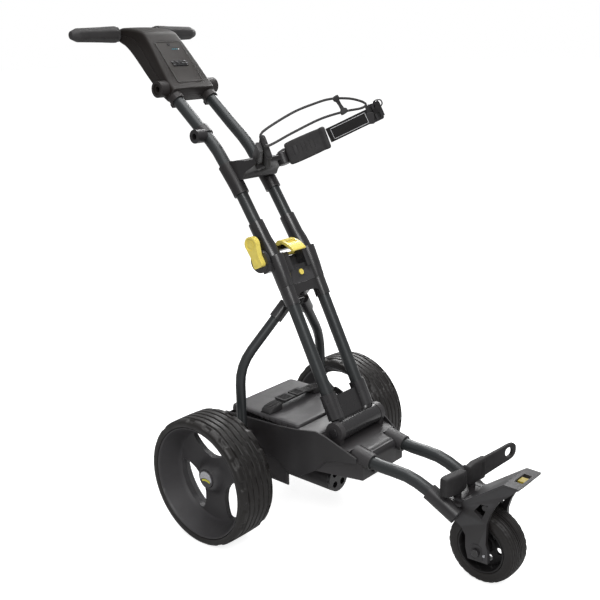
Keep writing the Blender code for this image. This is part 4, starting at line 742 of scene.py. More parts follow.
# ------------------------------------------------------------------ cradle arms on their pegs
CRADLE_LEFT = [                                         # x, y, z, half height, half thickness
    (0.006, -0.4965, 0.206, 0.017, 0.006), (0.008, -0.4966, 0.2062, 0.02, 0.008),
    (0.027, -0.4985, 0.208, 0.0225, 0.009), (0.048, -0.5082, 0.2135, 0.023, 0.0082),
    (0.0505, -0.5092, 0.2142, 0.0225, 0.0074), (0.052, -0.51, 0.2149, 0.0208, 0.005),
    (0.056, -0.512, 0.2164, 0.0204, 0.0048), (0.085, -0.527, 0.2282, 0.019, 0.0045),
    (0.101, -0.5338, 0.2335, 0.0187, 0.0043), (0.1085, -0.5371, 0.2355, 0.018, 0.0042),
    (0.114, -0.5393, 0.2368, 0.016, 0.0041), (0.118, -0.5408, 0.2376, 0.0128, 0.0039),
    (0.1204, -0.5416, 0.2381, 0.0088, 0.0036), (0.1214, -0.542, 0.2383, 0.0045, 0.003)]
CRADLE_RIGHT = [
    (0.006, -0.4965, 0.206, 0.017, 0.007), (0.0085, -0.4967, 0.2062, 0.0198, 0.0092),
    (0.022, -0.498, 0.207, 0.0213, 0.011), (0.042, -0.4972, 0.209, 0.0216, 0.0114),
    (0.062, -0.4955, 0.2105, 0.0215, 0.0114), (0.072, -0.4938, 0.2112, 0.0204, 0.0104),
    (0.0765, -0.4928, 0.2115, 0.0188, 0.0088), (0.0778, -0.4925, 0.2115, 0.0165, 0.0068)]


def cradle_left_cuts():
    """An oval hole near the tip and moulded ribs at the end of the thick root."""
    centre = vec(0.1035, -0.5348, 0.2352)
    along = vec(0.023, -0.01, 0).normalized()
    normal = vec(along.y, -along.x, 0)
    angles = [2 * math.pi * (i + 0.5) / 36 for i in range(36)]
    tools = [loft([[centre + normal * off + along * (0.0098 * math.cos(a))
                    + vec(0, 0, 0.0112 * math.sin(a)) for a in angles]
                   for off in (-0.012, 0.012)])]
    for k in range(4):
        x = 0.0385 + 0.0032 * k
        y = -0.4985 - 0.0097 * (x - 0.027) / 0.021
        rise = 0.2 * (x - 0.0385)
        tools.append(box(x - 0.0007, x + 0.0007, y - 0.012, y - 0.0074,
                         0.1965 + rise, 0.229 + rise))
    return tools


def cradle_right_cuts():
    """Three upright grooves in the front face."""
    return [box(-0.012 - 0.0034 * k - 0.0008, -0.012 - 0.0034 * k + 0.0008,
                -0.52, -0.5062 - 0.0006 * k, 0.1925, 0.2215) for k in range(3)]


def cradle_arm(name, side, stations, make_cuts):
    rings = []
    for k, (x, y, z, height, thick) in enumerate(stations):
        before, after = stations[max(k - 1, 0)], stations[min(k + 1, len(stations) - 1)]
        along = vec(side * (after[0] - before[0]), after[1] - before[1], 0).normalized()
        normal = vec(along.y, -along.x, 0)
        rings.append(squared_ring(vec(side * x, y, z), (normal, thick, 0.35),
                                  (vec(0, 0, 1), height, 0.3), 40))
    smooth = []
    for here, there in zip(rings, rings[1:]):
        smooth += [[a.lerp(b, q / 3) for a, b in zip(here, there)] for q in range(3)]
    arm = loft(smooth + [rings[-1]])
    join(arm, z_rod(side * CRADLE_X, CRADLE_Y, 0.18, 0.211, 0.0082))
    cut(arm, z_rod(side * CRADLE_X, CRADLE_Y, 0.17, 0.217, 0.0039), *make_cuts())
    fine(arm, "cradle_arm_" + name, "pad_rubber", bevel=0.0006, angle=40, body="cradle_" + name)


cradle_arm("left", 1, CRADLE_LEFT, cradle_left_cuts)
cradle_arm("right", -1, CRADLE_RIGHT, cradle_right_cuts)


# ------------------------------------------------------------------ wheels
def tyre(shoulder, tread, steps, turns, radius_at, place):
    """A closed tyre: shoulder points (across, radius) on both sides of a computed tread.

    Across runs from -1 to 1 over the width and place(across, y, z) sets a point.
    """
    profile = [(-a, r) for a, r in shoulder]
    profile += [(-tread + 2 * tread * k / steps, None) for k in range(steps + 1)]
    profile += reversed(shoulder)
    rings = []
    for k in range(turns):
        t = 2 * math.pi * k / turns
        row = []
        for a, r in profile:
            if r is None:
                r = radius_at(a, t)
            row.append(place(a, r * math.cos(t), r * math.sin(t)))
        rings.append(row)
    return loft(rings, closed=True, flatten=False)


REAR_GROOVES = [                                        # place, half width, depth
    (-0.62, 0.042, 0.0036), (-0.3, 0.034, 0.003), (0.0, 0.038, 0.0034), (0.3, 0.034, 0.003),
    (0.6, 0.042, 0.0036)]
REAR_SHOULDER = [                                       # across (outer face = 1), radius
    (0.8, 0.1276), (0.9, 0.1276), (0.96, 0.1284), (0.99, 0.1302), (1.0, 0.1328),
    (1.0, 0.1352), (0.994, 0.1376), (0.982, 0.1394), (0.966, 0.1408)]
REAR_RIM = [                                            # x, radius: lip, dish, hub, back
    (0.2838, 0.1273), (0.2856, 0.1266), (0.286, 0.1254), (0.285, 0.1243), (0.28, 0.1228),
    (0.27, 0.1196), (0.256, 0.115), (0.242, 0.1108), (0.235, 0.1085), (0.2322, 0.106),
    (0.2316, 0.1), (0.2316, 0.07), (0.233, 0.048), (0.2362, 0.04), (0.243, 0.0345),
    (0.25, 0.03), (0.2545, 0.025), (0.2552, 0.0215), (0.254, 0.0208), (0.25, 0.0206),
    (0.25, 0.0066), (0.206, 0.0066), (0.206, 0.019), (0.212, 0.023), (0.2175, 0.033),
    (0.2195, 0.045), (0.22, 0.07), (0.22, 0.104), (0.218, 0.109), (0.213, 0.113),
    (0.203, 0.1178), (0.1975, 0.1216), (0.1945, 0.124), (0.1945, 0.1273)]
RIM_WINDOW = [                                          # degrees off the middle, radius
    (-9, 0.044), (-29, 0.058), (-36.5, 0.082), (-37.5, 0.101), (-30, 0.1062), (-15, 0.1072),
    (0, 0.1074), (15, 0.1072), (30, 0.1062), (37.5, 0.101), (36.5, 0.082), (29, 0.058),
    (9, 0.044)]
HUB_CAP = [(0.2505, 0.007), (0.2572, 0.007), (0.2574, 0.015), (0.258, 0.0186),
           (0.2574, 0.02), (0.256, 0.0204), (0.2505, 0.0204)]
AXLE_Z = REAR_R


def rear_radius(x, t):
    """Tread radius: waved grooves and shoulder lugs. x is +1 on the trolley's left."""
    ax = abs(x)
    r = REAR_R - 0.001 * ax ** 2 - 0.003 * smoothstep(0.8, 1.0, ax) ** 1.5
    wave = 0.02 * math.sin(t * 9) + 0.01 * math.sin(t * 18 + 0.6)
    for centre, half, depth in REAR_GROOVES:
        r -= depth * (1 - smoothstep(half * 0.5, half * 1.5, abs(x - centre - wave)))
    lug = math.sin(t * 18 + (0.0 if x > 0 else math.pi / 2))
    edge = smoothstep(0.66, 0.78, ax) * (1 - smoothstep(0.97, 1.0, ax))
    return r - 0.004 * edge * smoothstep(0.2, 0.62, lug)


def bow(start, end, drop):
    """A line across the hub disc that bows up, drop below the axle."""
    places = [start + (end - start) * i / 24 for i in range(25)]
    return [(0.0172 * u, AXLE_Z - drop + 0.0062 * (1 - u * u)) for u in places]


def rear_wheel(name, side):
    half = REAR_W / 2
    middle = side * (REAR_OUT - half)
    fine(tyre(REAR_SHOULDER, 0.945, 84, 300,
              lambda a, t: min(rear_radius(a * side, t), 0.1418 + (1 - abs(a)) * 0.03),
              lambda a, y, z: vec(middle + a * half, y, AXLE_Z + z)),
         "rear_tyre_" + name, "tyre_rubber", angle=55, body="drive")

    rim = turned([(side * x, r) for x, r in REAR_RIM], vec(0, *AXLE), 128)
    windows = []
    for k in range(3):
        outline = []
        for offset, r in RIM_WINDOW:
            angle = math.radians(90 + 120 * k) + math.radians(offset)
            outline.append((r * math.cos(angle), AXLE_Z + r * math.sin(angle)))
        windows.append(prism(rounded(outline, 0.0075, 3), *across(side, 0.19, 0.26)))
    fine(cut(rim, *windows), "rear_rim_" + name, "rim_grey", bevel=0.0012, angle=38,
         body="drive")

    cap = turned([(side * x, r) for x, r in HUB_CAP], vec(0, *AXLE))
    join(cap, x_rod(side * 0.2562, side * 0.2573, AXLE, 0.011))
    node = "hub_cap_" + name
    fine(cap, node, "rim_grey", bevel=0.0004, body="drive")
    # silver disc with a bowed lower edge, and a thin yellow band under it
    angles = [math.radians(-15 + 210 * i / 48) for i in range(49)]
    disc = [(0.0178 * math.cos(a), AXLE_Z + 0.0178 * math.sin(a)) for a in angles]
    disc += bow(-1, 1, 0.0046)[1:-1]
    extra(prism(disc, *across(side, 0.257, 0.2585)), "hub_disc_" + name, "silver_cap",
          "drive", bevel=0.0003, angle=40)
    band = bow(-0.72, 0.72, 0.0066) + bow(0.66, -0.66, 0.0112)
    extra(prism(band, *across(side, 0.257, 0.2582)), "hub_band_" + name, "yellow_ink",
          "drive", bevel=0.0002, angle=40)


for name, side in SIDES:
    rear_wheel(name, side)

FRONT_HALF = FRONT_W / 2
FRONT_SHOULDER = [(0.84, 0.0522), (0.95, 0.0526), (0.99, 0.0545), (1.0, 0.058), (1.0, 0.062),
                  (0.985, 0.066), (0.955, 0.069)]
FRONT_RIM = [                                           # x, radius of the right half
    (-FRONT_HALF * 0.95, 0.0518), (-FRONT_HALF * 0.95, 0.0488), (-FRONT_HALF * 0.9, 0.0476),
    (-0.015, 0.045), (-0.006, 0.0438), (-0.0035, 0.0415), (-0.0035, 0.0185),
    (-0.006, 0.015), (-0.0352, 0.0125), (-0.0352, 0.0053)]


def front_radius(a, t):
    """Tread radius: grooves round the tread and shallow shoulder notches."""
    ax = abs(a)
    r = FRONT_R - 0.0048 * ax ** 2.6
    phase = (a * 5.5 + 0.5) % 1.0
    groove = 1 - smoothstep(0.14, 0.3, abs(phase - 0.5))
    r -= 0.0026 * groove * (1 - smoothstep(0.9, 0.94, ax))
    return r - 0.0007 * smoothstep(0.62, 0.74, ax) * smoothstep(0.55, 0.85, math.sin(t * 30))


fine(tyre(FRONT_SHOULDER, 0.92, 72, 180, front_radius,
          lambda a, y, z: FRONT + vec(a * FRONT_HALF, y, z)),
     "front_tyre", "tyre_rubber", angle=55, body="front_wheel")
rim = turned(FRONT_RIM + [(-x, r) for x, r in reversed(FRONT_RIM)], FRONT, 96)
cuts = []
for k in range(6):
    angle = math.radians(60 * k + 15)
    y, z = 0.0295 * math.cos(angle), 0.0295 * math.sin(angle)
    cuts.append(rod(FRONT + vec(-0.02, y, z), FRONT + vec(0.02, y, z), 0.0072))
fine(cut(rim, *cuts), "front_rim", "front_wheel_plastic", bevel=0.0007, body="front_wheel")

# on the fork: round boss in the window, silver screw beside the axle, raised foot round it
FORK_STEP = rounded([(-0.569, 0.0596), (-0.544, 0.06), (-0.542, 0.09), (-0.547, 0.0945),
                     (-0.56, 0.0945), (-0.5655, 0.0905)], 0.005, 4)
for name, side in SIDES:
    extra(x_rod(side * 0.037, side * 0.0458, (-0.569, 0.1795), 0.0062), "fork_boss_" + name,
          "satin_plastic", "chassis", bevel=0.0008)
    extra(x_rod(side * 0.045, side * 0.0474, (-0.5712, 0.0745), 0.003), "fork_screw_" + name,
          "silver_cap", "chassis", bevel=0.0006)
    step = cut(prism(FORK_STEP, *across(side, 0.0452, 0.0466)),
               x_rod(side * 0.04, side * 0.05, FRONT.yz, 0.0092))
    extra(step, "fork_step_" + name, "satin_plastic", "chassis", bevel=0.0006)

# rounded nose that closes the deck down to the tray between the two front tubes
NOSE = [                                                # y, z: down outside, up inside
    (-0.266, 0.2196), (-0.278, 0.2188), (-0.287, 0.2168), (-0.293, 0.2132),
    (-0.2962, 0.208), (-0.2972, 0.201), (-0.2972, 0.17), (-0.2966, 0.1656),
    (-0.293, 0.1656), (-0.2934, 0.17), (-0.2934, 0.2006), (-0.2928, 0.206),
    (-0.2904, 0.2104), (-0.2858, 0.2134), (-0.2776, 0.2154), (-0.266, 0.216)]
nose = loft([[vec(x, y, z) for y, z in NOSE] for x in (-0.0382, -0.02, 0.0, 0.02, 0.0382)])
extra(nose, "deck_nose", "satin_plastic", "chassis", bevel=0.0008, angle=40)

# ------------------------------------------------------------------ battery
fine(box(-0.1, 0.1, -0.13, 0.065, 0.1685, 0.2355, 0.005, 3), "battery_case", "battery_shell",
     bevel=0.0012)
LID = [                                                 # z, inset, corner radius
    (0.242, 0.0, 0.01), (0.2424, 0.0, 0.01), (0.2524, 0.0012, 0.01),
    (0.255, 0.0032, 0.01), (0.2561, 0.0068, 0.01), (0.2563, 0.013, 0.008)]
lid = loft([[vec(x, y, z) for x, y in rectangle(
    -0.105 + e, 0.105 - e, -0.1385 + e, 0.069 - e, r, 7)] for z, e, r in LID])
join(lid, box(-0.097, 0.097, -0.127, 0.061, 0.2358, 0.244))
cut(lid, *[box(x, x + 0.0025, -0.11 + 0.018 * k, -0.104 + 0.018 * k, 0.2425, 0.254)
           for x in (-0.106, 0.1035) for k in range(9)])      # flutes on both sides
fine(lid, "battery_lid", "battery_shell", bevel=0.0006, angle=30)

# webbing strap over the lid with ribbed end pads and two buckle plates
STRAP_Y = -0.035
STRAP_BODY = BODY_OF["battery_strap"]
STRAP_LINE = [(-0.0985, 0.257), (-0.09, 0.258), (-0.078, 0.264), (-0.06, 0.269),
              (-0.03, 0.2708), (0.0, 0.2712)]           # x, z up to the middle
STRAP_PAD = [                                           # x, bottom z, top z, half width
    (0.055, 0.258, 0.269, 0.013), (0.058, 0.2566, 0.272, 0.0155),
    (0.072, 0.2564, 0.2712, 0.0165), (0.086, 0.2564, 0.269, 0.0165),
    (0.095, 0.2564, 0.264, 0.0155), (0.0985, 0.2564, 0.26, 0.013)]
line = STRAP_LINE + [(-x, z) for x, z in reversed(STRAP_LINE[:-1])]
path = spline([vec(x, STRAP_Y, z) for x, z in line], 0.004)
fine(ribbon(path, vec(0, 0, 1), 0.029, 0.0026), "battery_strap", "webbing", bevel=0.0003,
     angle=40)
for name, side in SIDES:
    pad = loft([[vec(side * x, y, z) for y, z in rounded(
        [(STRAP_Y - half, z0), (STRAP_Y + half, z0), (STRAP_Y + half * 0.92, z1),
         (STRAP_Y - half * 0.92, z1)], 0.003, 3)] for x, z0, z1, half in STRAP_PAD])
    cut(pad, *[box(*across(side, 0.061 + 0.0055 * k, 0.0632 + 0.0055 * k), STRAP_Y - 0.0125,
                   STRAP_Y + 0.0125, 0.2694 - 0.0005 * k, 0.276) for k in range(6)])
    extra(pad, "battery_strap_pad_" + name, "pad_rubber", STRAP_BODY,
          bevel=0.0005)
BUCKLE_PITCH = 0.0052
for x0, x1, name in ((-0.05, -0.012, "a"), (-0.006, 0.03, "b")):
    outline = rectangle(x0, x1, STRAP_Y - 0.0165, STRAP_Y + 0.0165, 0.004)
    buckle = loft([[vec(x, y, z) for x, y in outline] for z in (0.2722, 0.2758)])
    cut(buckle, *[box(x0 + 0.006 + BUCKLE_PITCH * k, x0 + 0.0086 + BUCKLE_PITCH * k,
                      STRAP_Y - 0.012, STRAP_Y + 0.012, 0.2742, 0.279)
                  for k in range(int((x1 - x0 - 0.010) / BUCKLE_PITCH))])
    extra(buckle, "battery_buckle_" + name, "pad_rubber", STRAP_BODY,
          bevel=0.0006)

# ------------------------------------------------------------------ lower frame
# webbing loop behind the bracket plate
PULL_LOOP = [                                           # along, off, x of one half
    (-0.038, -0.011, -0.021), (-0.036, -0.013, -0.02), (-0.012, -0.025, -0.016),
    (0.003, -0.029, -0.007), (0.006, -0.0295, 0.0)]
path = spline([low(*p) for p in PULL_LOOP]
              + [low(a, off, -x) for a, off, x in reversed(PULL_LOOP[:-1])], 0.003)
rings = []
for i, point in enumerate(path):
    direction = heading(path, i)
    wide = square_to(vec(0, 0.8, -0.6), direction) * 0.0085
    thick = direction.cross(wide).normalized() * 0.0013
    rings.append([point + wide * a + thick * b for a, b in (
        (-1, -0.5), (-0.94, -1), (0.94, -1), (1, -0.5), (1, 0.5), (0.94, 1), (-0.94, 1),
        (-1, 0.5))])
fine(loft(rings), "pull_loop", "webbing", angle=40, body="lower_frame")

for name, side in SIDES:
    ends = [low(LOW_START, 0, side * TUBE_X), low(LOW_END, 0, side * TUBE_X)]
    fine(pipe(ends, TUBE_R, TUBE_WALL), "lower_tube_" + name, "tube_paint", angle=50)


def low_bores(start, end):
    """Tools for the bores of the two lower tubes."""
    return [rod(low(start, 0, side * TUBE_X), low(end, 0, side * TUBE_X), BORE_R)
            for _, side in SIDES]


# base bracket: hinge barrel, two sleeves and the plate between them
BRACKET_ROOT = -0.0787                                  # distance along the lower tubes
parts = []
for _, side in SIDES:
    parts += [rod(low(BRACKET_ROOT + 0.0125, 0, side * 0.044), low(-0.0525, 0, side * 0.05),
                  0.015),
              rod(low(-0.0545, 0, side * TUBE_X), low(0.003, 0, side * TUBE_X), 0.0182)]
parts.append(low_prism([(BRACKET_ROOT + 0.012, 0.005), (-0.008, 0.005), (-0.008, -0.004),
                        (BRACKET_ROOT + 0.012, -0.004)], -0.05, 0.05))
bracket = join(x_rod(-0.0636, 0.0636, BARREL.yz, 0.0215), *parts)
cut(bracket, x_rod(-0.09, 0.09, BARREL.yz, 0.0064), *low_bores(-0.0515, 0.02))
fine(bracket, "base_bracket", "gloss_block", bevel=0.0009, angle=32)

# the fold: each block keeps to its side of the seam, and knuckles interlock across it
LOWER_KNUCKLES = [(0.044, 0.059)]                       # inner x, outer x
UPPER_KNUCKLES = [(0.031, 0.0436), (0.0594, 0.0722)]


def seam_cut(gap, reach):
    """Everything past the seam, up to reach."""
    origin = FOLD + SEAM_D * gap
    corners = ((-0.2, 0), (0.2, 0), (0.2, reach), (-0.2, reach))
    return prism(flat(origin + SEAM_ALONG * u + SEAM_D * v for u, v in corners), -0.2, 0.2)


def rear_wedge(degrees, turn):
    """A wedge of space beside the line that leaves the hinge at an angle in the YZ plane."""
    angle = math.radians(degrees)
    out = vec(0, math.cos(angle), math.sin(angle))
    over = vec(0, -out.z, out.y) * turn
    origin = FOLD - over * 0.0003
    return prism(flat([origin - out * 0.004, origin + out * 0.07,
                       origin + out * 0.07 + over * 0.06, origin - out * 0.004 + over * 0.06]),
                 -0.12, 0.12)


def knuckles(spans):
    return [x_rod(side * inner, side * outer, FOLD.yz, KNUCKLE_R)
            for _, side in SIDES for inner, outer in spans]


def hinge_bore():
    return x_rod(-0.12, 0.09, FOLD.yz, 0.0045)


# lower fold block
COLUMN = [(COLLAR_TOP + 0.0003, 0, 0.0175, 0.018), (0.285, 0.001, 0.0188, 0.0198),
          (0.345, 0.001, 0.0205, 0.0215)]               # along, off, radius in x, depth radius
FLANGE = [(0.2835, -0.002), (0.2835, 0.014), (0.355, 0.015), (0.355, -0.01), (0.301, -0.01)]
block = join(*[loft([ring(low(along, off, side * TUBE_X), vec(1, 0, 0), LOW_N, r,
                          second_radius=depth) for along, off, r, depth in COLUMN])
               for _, side in SIDES])
web = low_prism([(COLLAR_TOP + 0.0003, 0.0), (COLLAR_TOP + 0.0003, 0.0095), (0.293, 0.0105),
                 (0.293, 0.0)], -0.0479, 0.0479)
join(web, *[low_prism(FLANGE, *across(side, 0.0232, 0.0407)) for _, side in SIDES],
     low_prism([(0.2893, -0.0125), (0.2893, -0.016), (0.319, -0.016), (0.319, -0.0125)],
               -0.03, 0.03),                            # the wall behind the window
     low_prism([(0.2845, 0.004), (0.2845, -0.0159), (0.289, -0.0159), (0.289, 0.004)],
               -0.0301, 0.0301))                        # and its sill
tidy(web)
tidy(join(block, web))
tidy(cut(block, seam_cut(-0.0002, 0.2)))
tidy(cut(block, rear_wedge(249.2, 1)))
housing_foot = flat(FOLD + SEAM_ALONG * u + LOW_D * v for u, v in (
    (0.0, -0.03), (0.021, -0.03), (0.021, -0.012), (0.0, -0.012)))
for tool in knuckles(LOWER_KNUCKLES) + [                # with a round housing on the right
        x_rod(-0.084, -0.0745, FOLD.yz, 0.0258), prism(housing_foot, -0.0835, -0.06)]:
    tidy(join(block, tool))
BUTTON = low(0.2745)
cuts = [x_rod(side * (inner - 0.0002), side * (outer + 0.0002 + (0.003 if outer > 0.07 else 0)),
              FOLD.yz, KNUCKLE_BORE) for _, side in SIDES for inner, outer in UPPER_KNUCKLES]
cuts += [hinge_bore(), *low_bores(0.2, LOW_END + 0.001),
         rod(BUTTON - LOW_N * 0.02, BUTTON + LOW_N * 0.03, 0.0072)]
for tool in cuts:
    tidy(cut(block, tool))
fine(block, "fold_block", "gloss_block", bevel=0.0008, angle=32)

button = join(rod(BUTTON - LOW_N * 0.003, BUTTON + LOW_N * 0.012, 0.0066),
              rod(BUTTON - LOW_N * 0.006, BUTTON - LOW_N * 0.0028, 0.0092))
fine(button, "release_button", "yellow_plastic", bevel=0.0009)

# collar below the fold block: two sleeves, an arched plate and the stay lug behind
PLATE_TOP = COLLAR_TOP - 0.0002
sleeves = [rod(low(0.211, 0, side * TUBE_X), low(COLLAR_TOP, 0, side * TUBE_X), 0.017, 0.0174)
           for _, side in SIDES]
plate = loft([[low(along, -0.001, x), low(along, 0.009, x), low(PLATE_TOP, 0.009, x),
               low(PLATE_TOP, -0.001, x)]
              for along, x in ((0.22, -0.048), (0.231, -0.022), (0.231, 0.022), (0.22, 0.048))])
lug = prism(flat([low(0.232, 0.002), low(COLLAR_TOP - 0.0015, 0.002)])
            + [(-0.035, 0.533), (-0.035, 0.5105), (-0.06, 0.5095)], -0.0187, 0.0187)
collar = cut(join(*sleeves, plate, lug), *low_bores(0.19, 0.27))
fine(collar, "stay_collar", "gloss_block", bevel=0.0009, angle=32)


# ------------------------------------------------------------------ stays
def stay_corner(side):
    """Top end and bend of a stay."""
    return vec(side * 0.031, -0.042, 0.496), vec(side * 0.1385, 0.0, 0.374)


for name, side in SIDES:
    path = round_path([*stay_corner(side), vec(side * 0.1385, 0.0, 0.19)], 0.045, 4)
    stay = cut(pipe(path, STAY_R, STAY_WALL),
               x_rod(side * 0.1, side * 0.18, STAY_PIVOT.yz, 0.0049))
    fine(stay, "stay_tube_" + name, "tube_paint", angle=50)
sleeves, bores = [], []
for _, side in SIDES:
    top, bend = stay_corner(side)
    along = (bend - top).normalized()
    sleeves.append(rod(top - along * 0.006, top + along * 0.036, 0.0152))
    bores.append(rod(top - along * 0.0004, top + along * 0.08, STAY_R + 0.0004))
yoke = join(*sleeves, box(-0.03, 0.03, -0.053, -0.033, 0.49, 0.504, 0.002))
fine(cut(yoke, *bores), "stay_yoke", "gloss_block", bevel=0.0009, angle=32)

# ------------------------------------------------------------------ upper frame
for name, side in SIDES:
    fine(pipe(upper_path(side), TUBE_R, TUBE_WALL), "upper_tube_" + name, "tube_paint", angle=50)

# upper fold block: two tapered columns and a bridge at the seam
BLOCK_FOOT, BLOCK_TOP = vec(0, -0.0218, 0.6177), vec(0, 0.0197, 0.6805)
BLOCK_D = (BLOCK_TOP - BLOCK_FOOT).normalized()
BLOCK_N = vec(0, -BLOCK_D.z, BLOCK_D.y)
columns = []
for _, side in SIDES:
    middle = vec(side * TUBE_X, 0, 0)
    foot = middle + BLOCK_FOOT
    columns.append(loft([ring(centre, vec(1, 0, 0), BLOCK_N, r, second_radius=depth)
                         for centre, r, depth in (
        (foot - BLOCK_D * 0.03, 0.0205, 0.0215), (foot + BLOCK_D * 0.012, 0.02, 0.0205),
        (foot + BLOCK_D * 0.03, 0.018, 0.018), (middle + BLOCK_TOP, 0.0174, 0.0174))]))
bridge = prism(flat(BLOCK_FOOT + BLOCK_D * q + BLOCK_N * r for q, r in (
    (0.001, -0.001), (0.001, -0.015), (0.019, -0.015), (0.019, -0.006))), -0.04, 0.04)
block = join(*columns, bridge)
cut(block, seam_cut(0.0002, -0.2), rear_wedge(35.9, -1))
join(block, *knuckles(UPPER_KNUCKLES))
cuts = [x_rod(side * (inner - 0.0004), side * (outer + 0.0004), FOLD.yz, KNUCKLE_BORE)
        for _, side in SIDES for inner, outer in LOWER_KNUCKLES]
cuts.append(hinge_bore())
for _, side in SIDES:
    start, end = upper_path(side)[:2]
    along = (end - start).normalized()
    cuts.append(rod(start - along * 0.0006, end + along * 0.03, BORE_R))
fine(cut(block, *cuts), "upper_fold_block", "gloss_block", bevel=0.0008, angle=32)

# yellow lever on the right: a round head on a stem, with the hinge shaft
LEVER_X0, LEVER_X1 = -0.0973, -0.0843
LEVER_SWEEP = math.pi * 0.62                            # half of the head's arc
lever_d = vec(0, 0.424, 0.906).normalized()
lever_n = vec(0, -lever_d.z, lever_d.y)
head, foot = FOLD + vec(0, 0.0124, 0.0383), FOLD + vec(0, -0.006, -0.0025)
points = []
for k in range(25):
    angle = -LEVER_SWEEP + k * (2 * LEVER_SWEEP) / 24
    points.append(head + lever_d * (0.0175 * math.cos(angle))
                  + lever_n * (0.0175 * math.sin(angle)))
points += [foot + lever_n * n + lever_d * d for n, d in (
    (0.0115, 0.016), (0.014, -0.002), (0.0115, -0.0085),
    (-0.0115, -0.0085), (-0.014, -0.002), (-0.0115, 0.016))]
lever = prism(rounded(flat(points), 0.0035, 4), LEVER_X0, LEVER_X1)
cut(lever, x_rod(LEVER_X0 - 0.002, LEVER_X0 + 0.0016, head.yz, 0.0132))
join(lever, x_rod(LEVER_X0 + 0.0008, LEVER_X0 + 0.003, head.yz, 0.008),
     x_rod(LEVER_X0 - 0.0008, LEVER_X0 + 0.002, FOLD.yz, 0.0068),
     x_rod(LEVER_X1 - 0.002, 0.0715, FOLD.yz, 0.0041))
fine(lever, "fold_lever", "yellow_plastic", bevel=0.0014, body="lever", segments=3)

CATCH = [                                               # y, z
    (-0.0105, 0.63), (-0.0118, 0.6345), (-0.015, 0.6385), (-0.02, 0.6402),
    (-0.026, 0.6403), (-0.034, 0.6392), (-0.042, 0.6365), (-0.05, 0.6328),
    (-0.056, 0.629), (-0.061, 0.6255), (-0.063, 0.6228), (-0.0613, 0.6204),
    (-0.0575, 0.6212), (-0.052, 0.6243), (-0.046, 0.6278), (-0.04, 0.6303),
    (-0.032, 0.6331), (-0.025, 0.6342), (-0.0218, 0.6318), (-0.019, 0.627)]
catch = cut(prism(rounded(CATCH, 0.003, 3), -0.0212, 0.0212),
            box(-0.015, 0.015, -0.056, -0.033, 0.6352, 0.648))
fine(catch, "fold_catch", "yellow_plastic", bevel=0.001, body="catch")

# ------------------------------------------------------------------ bag saddle
SADDLE_LINE = ((0.0587, 0.7393), (0.07, 0.756), (0.0835, 0.7735), (0.094, 0.7865), (0.105, 0.8))
SADDLE_WEB = [(0.079, 0.782), (0.098, 0.808), (0.07, 0.8145), (0.035, 0.816), (0.01, 0.823),
              (0.006, 0.812), (0.025, 0.8), (0.045, 0.788), (0.052, 0.77)]
SADDLE_ARM = [                                          # place along the arm, height, thickness
    (-0.02, 0.012, 0.0062), (0.1, 0.015, 0.006), (0.2, 0.014, 0.0054), (0.32, 0.013, 0.005),
    (0.6, 0.0126, 0.0044), (0.93, 0.012, 0.004), (0.98, 0.0105, 0.0036)]
SADDLE_UP = vec(0, 0.42, 0.88)


def saddle_arm(side):
    """Root, tip and rearward normal of an arm."""
    return (vec(side * 0.033, 0.018, 0.815), vec(side * 0.103, -0.056, 0.857),
            vec(side * 0.7, 0.7, 0.0))


parts = [sweep(spline([vec(side * TUBE_X, y, z) for y, z in SADDLE_LINE], 0.004), 0.018, 40)
         for _, side in SIDES]
parts.append(prism(rounded(SADDLE_WEB, 0.008), -0.056, 0.056))
for _, side in SIDES:
    root, tip, back = saddle_arm(side)
    parts.append(loft([squared_ring(root.lerp(tip, t) + back * 0.0045,
                                    (back, thick * 1.35, 0.5), (SADDLE_UP, height, 0.35), 28)
                       for t, height, thick in SADDLE_ARM]))
    # round boss at the arm's root
    centre = root.lerp(tip, 0.02) + vec(side * 0.002, -0.004, -0.004)
    parts.append(loft([ring(centre + SADDLE_UP * up, vec(1, 0, 0), vec(0, 0.88, -0.42), r, 40)
                       for up, r in ((-0.014, 0.0118), (-0.012, 0.0136), (0.012, 0.0136),
                                     (0.0146, 0.011))]))
saddle = join(*parts)
cut(saddle, *[sweep(upper_path(side)[1:6], BORE_R) for _, side in SIDES])
fine(saddle, "bag_saddle", "satin_plastic", bevel=0.0009, angle=32)

# pads: rounded rubber slabs with grooves and an end lip
BAG_PAD = [                                             # place along the arm, height, thickness
    (0.15, 0.0205, 0.0036), (0.158, 0.0232, 0.0046), (0.172, 0.0246, 0.0052),
    (0.2, 0.0258, 0.0054), (0.3, 0.0265, 0.0052), (0.45, 0.0267, 0.005),
    (0.6, 0.0266, 0.005), (0.75, 0.0263, 0.005), (0.88, 0.0257, 0.0052),
    (0.925, 0.0256, 0.0056), (0.94, 0.0262, 0.0066), (1.0, 0.026, 0.0068),
    (1.025, 0.0252, 0.0064), (1.038, 0.0236, 0.005), (1.042, 0.0215, 0.0036)]
for name, side in SIDES:
    root, tip, back = saddle_arm(side)
    along = (tip - root).normalized()
    pad = loft([squared_ring(root.lerp(tip, t) - back * 0.0085, (back, thick, 0.45),
                             (SADDLE_UP, height, 0.25), 40) for t, height, thick in BAG_PAD])
    cuts = []
    for k in range(6):
        centre = (root.lerp(tip, 0.3 + 0.088 * k) - back * (0.0085 + 0.006)
                  + SADDLE_UP * (0.003 - 0.0006 * k))
        cuts.append(loft([[centre + SADDLE_UP * end + along * a + back * b for a, b in (
            (-0.0012, -0.003), (0.0012, -0.003), (0.001, 0.0018), (-0.001, 0.0018))]
            for end in (-0.0108, 0.0108)]))
    fine(cut(pad, *cuts), "bag_pad_" + name, "pad_rubber", bevel=0.0005, angle=40,
         body="upper_frame")

# ------------------------------------------------------------------ bag strap and buckle
STRAP_START, STRAP_END = vec(0.1075, -0.0605, 0.86), vec(0.17, -0.123, 0.899)
STRAP_D = (STRAP_END - STRAP_START).normalized()
back = vec(0.7, 0.7, 0.0)


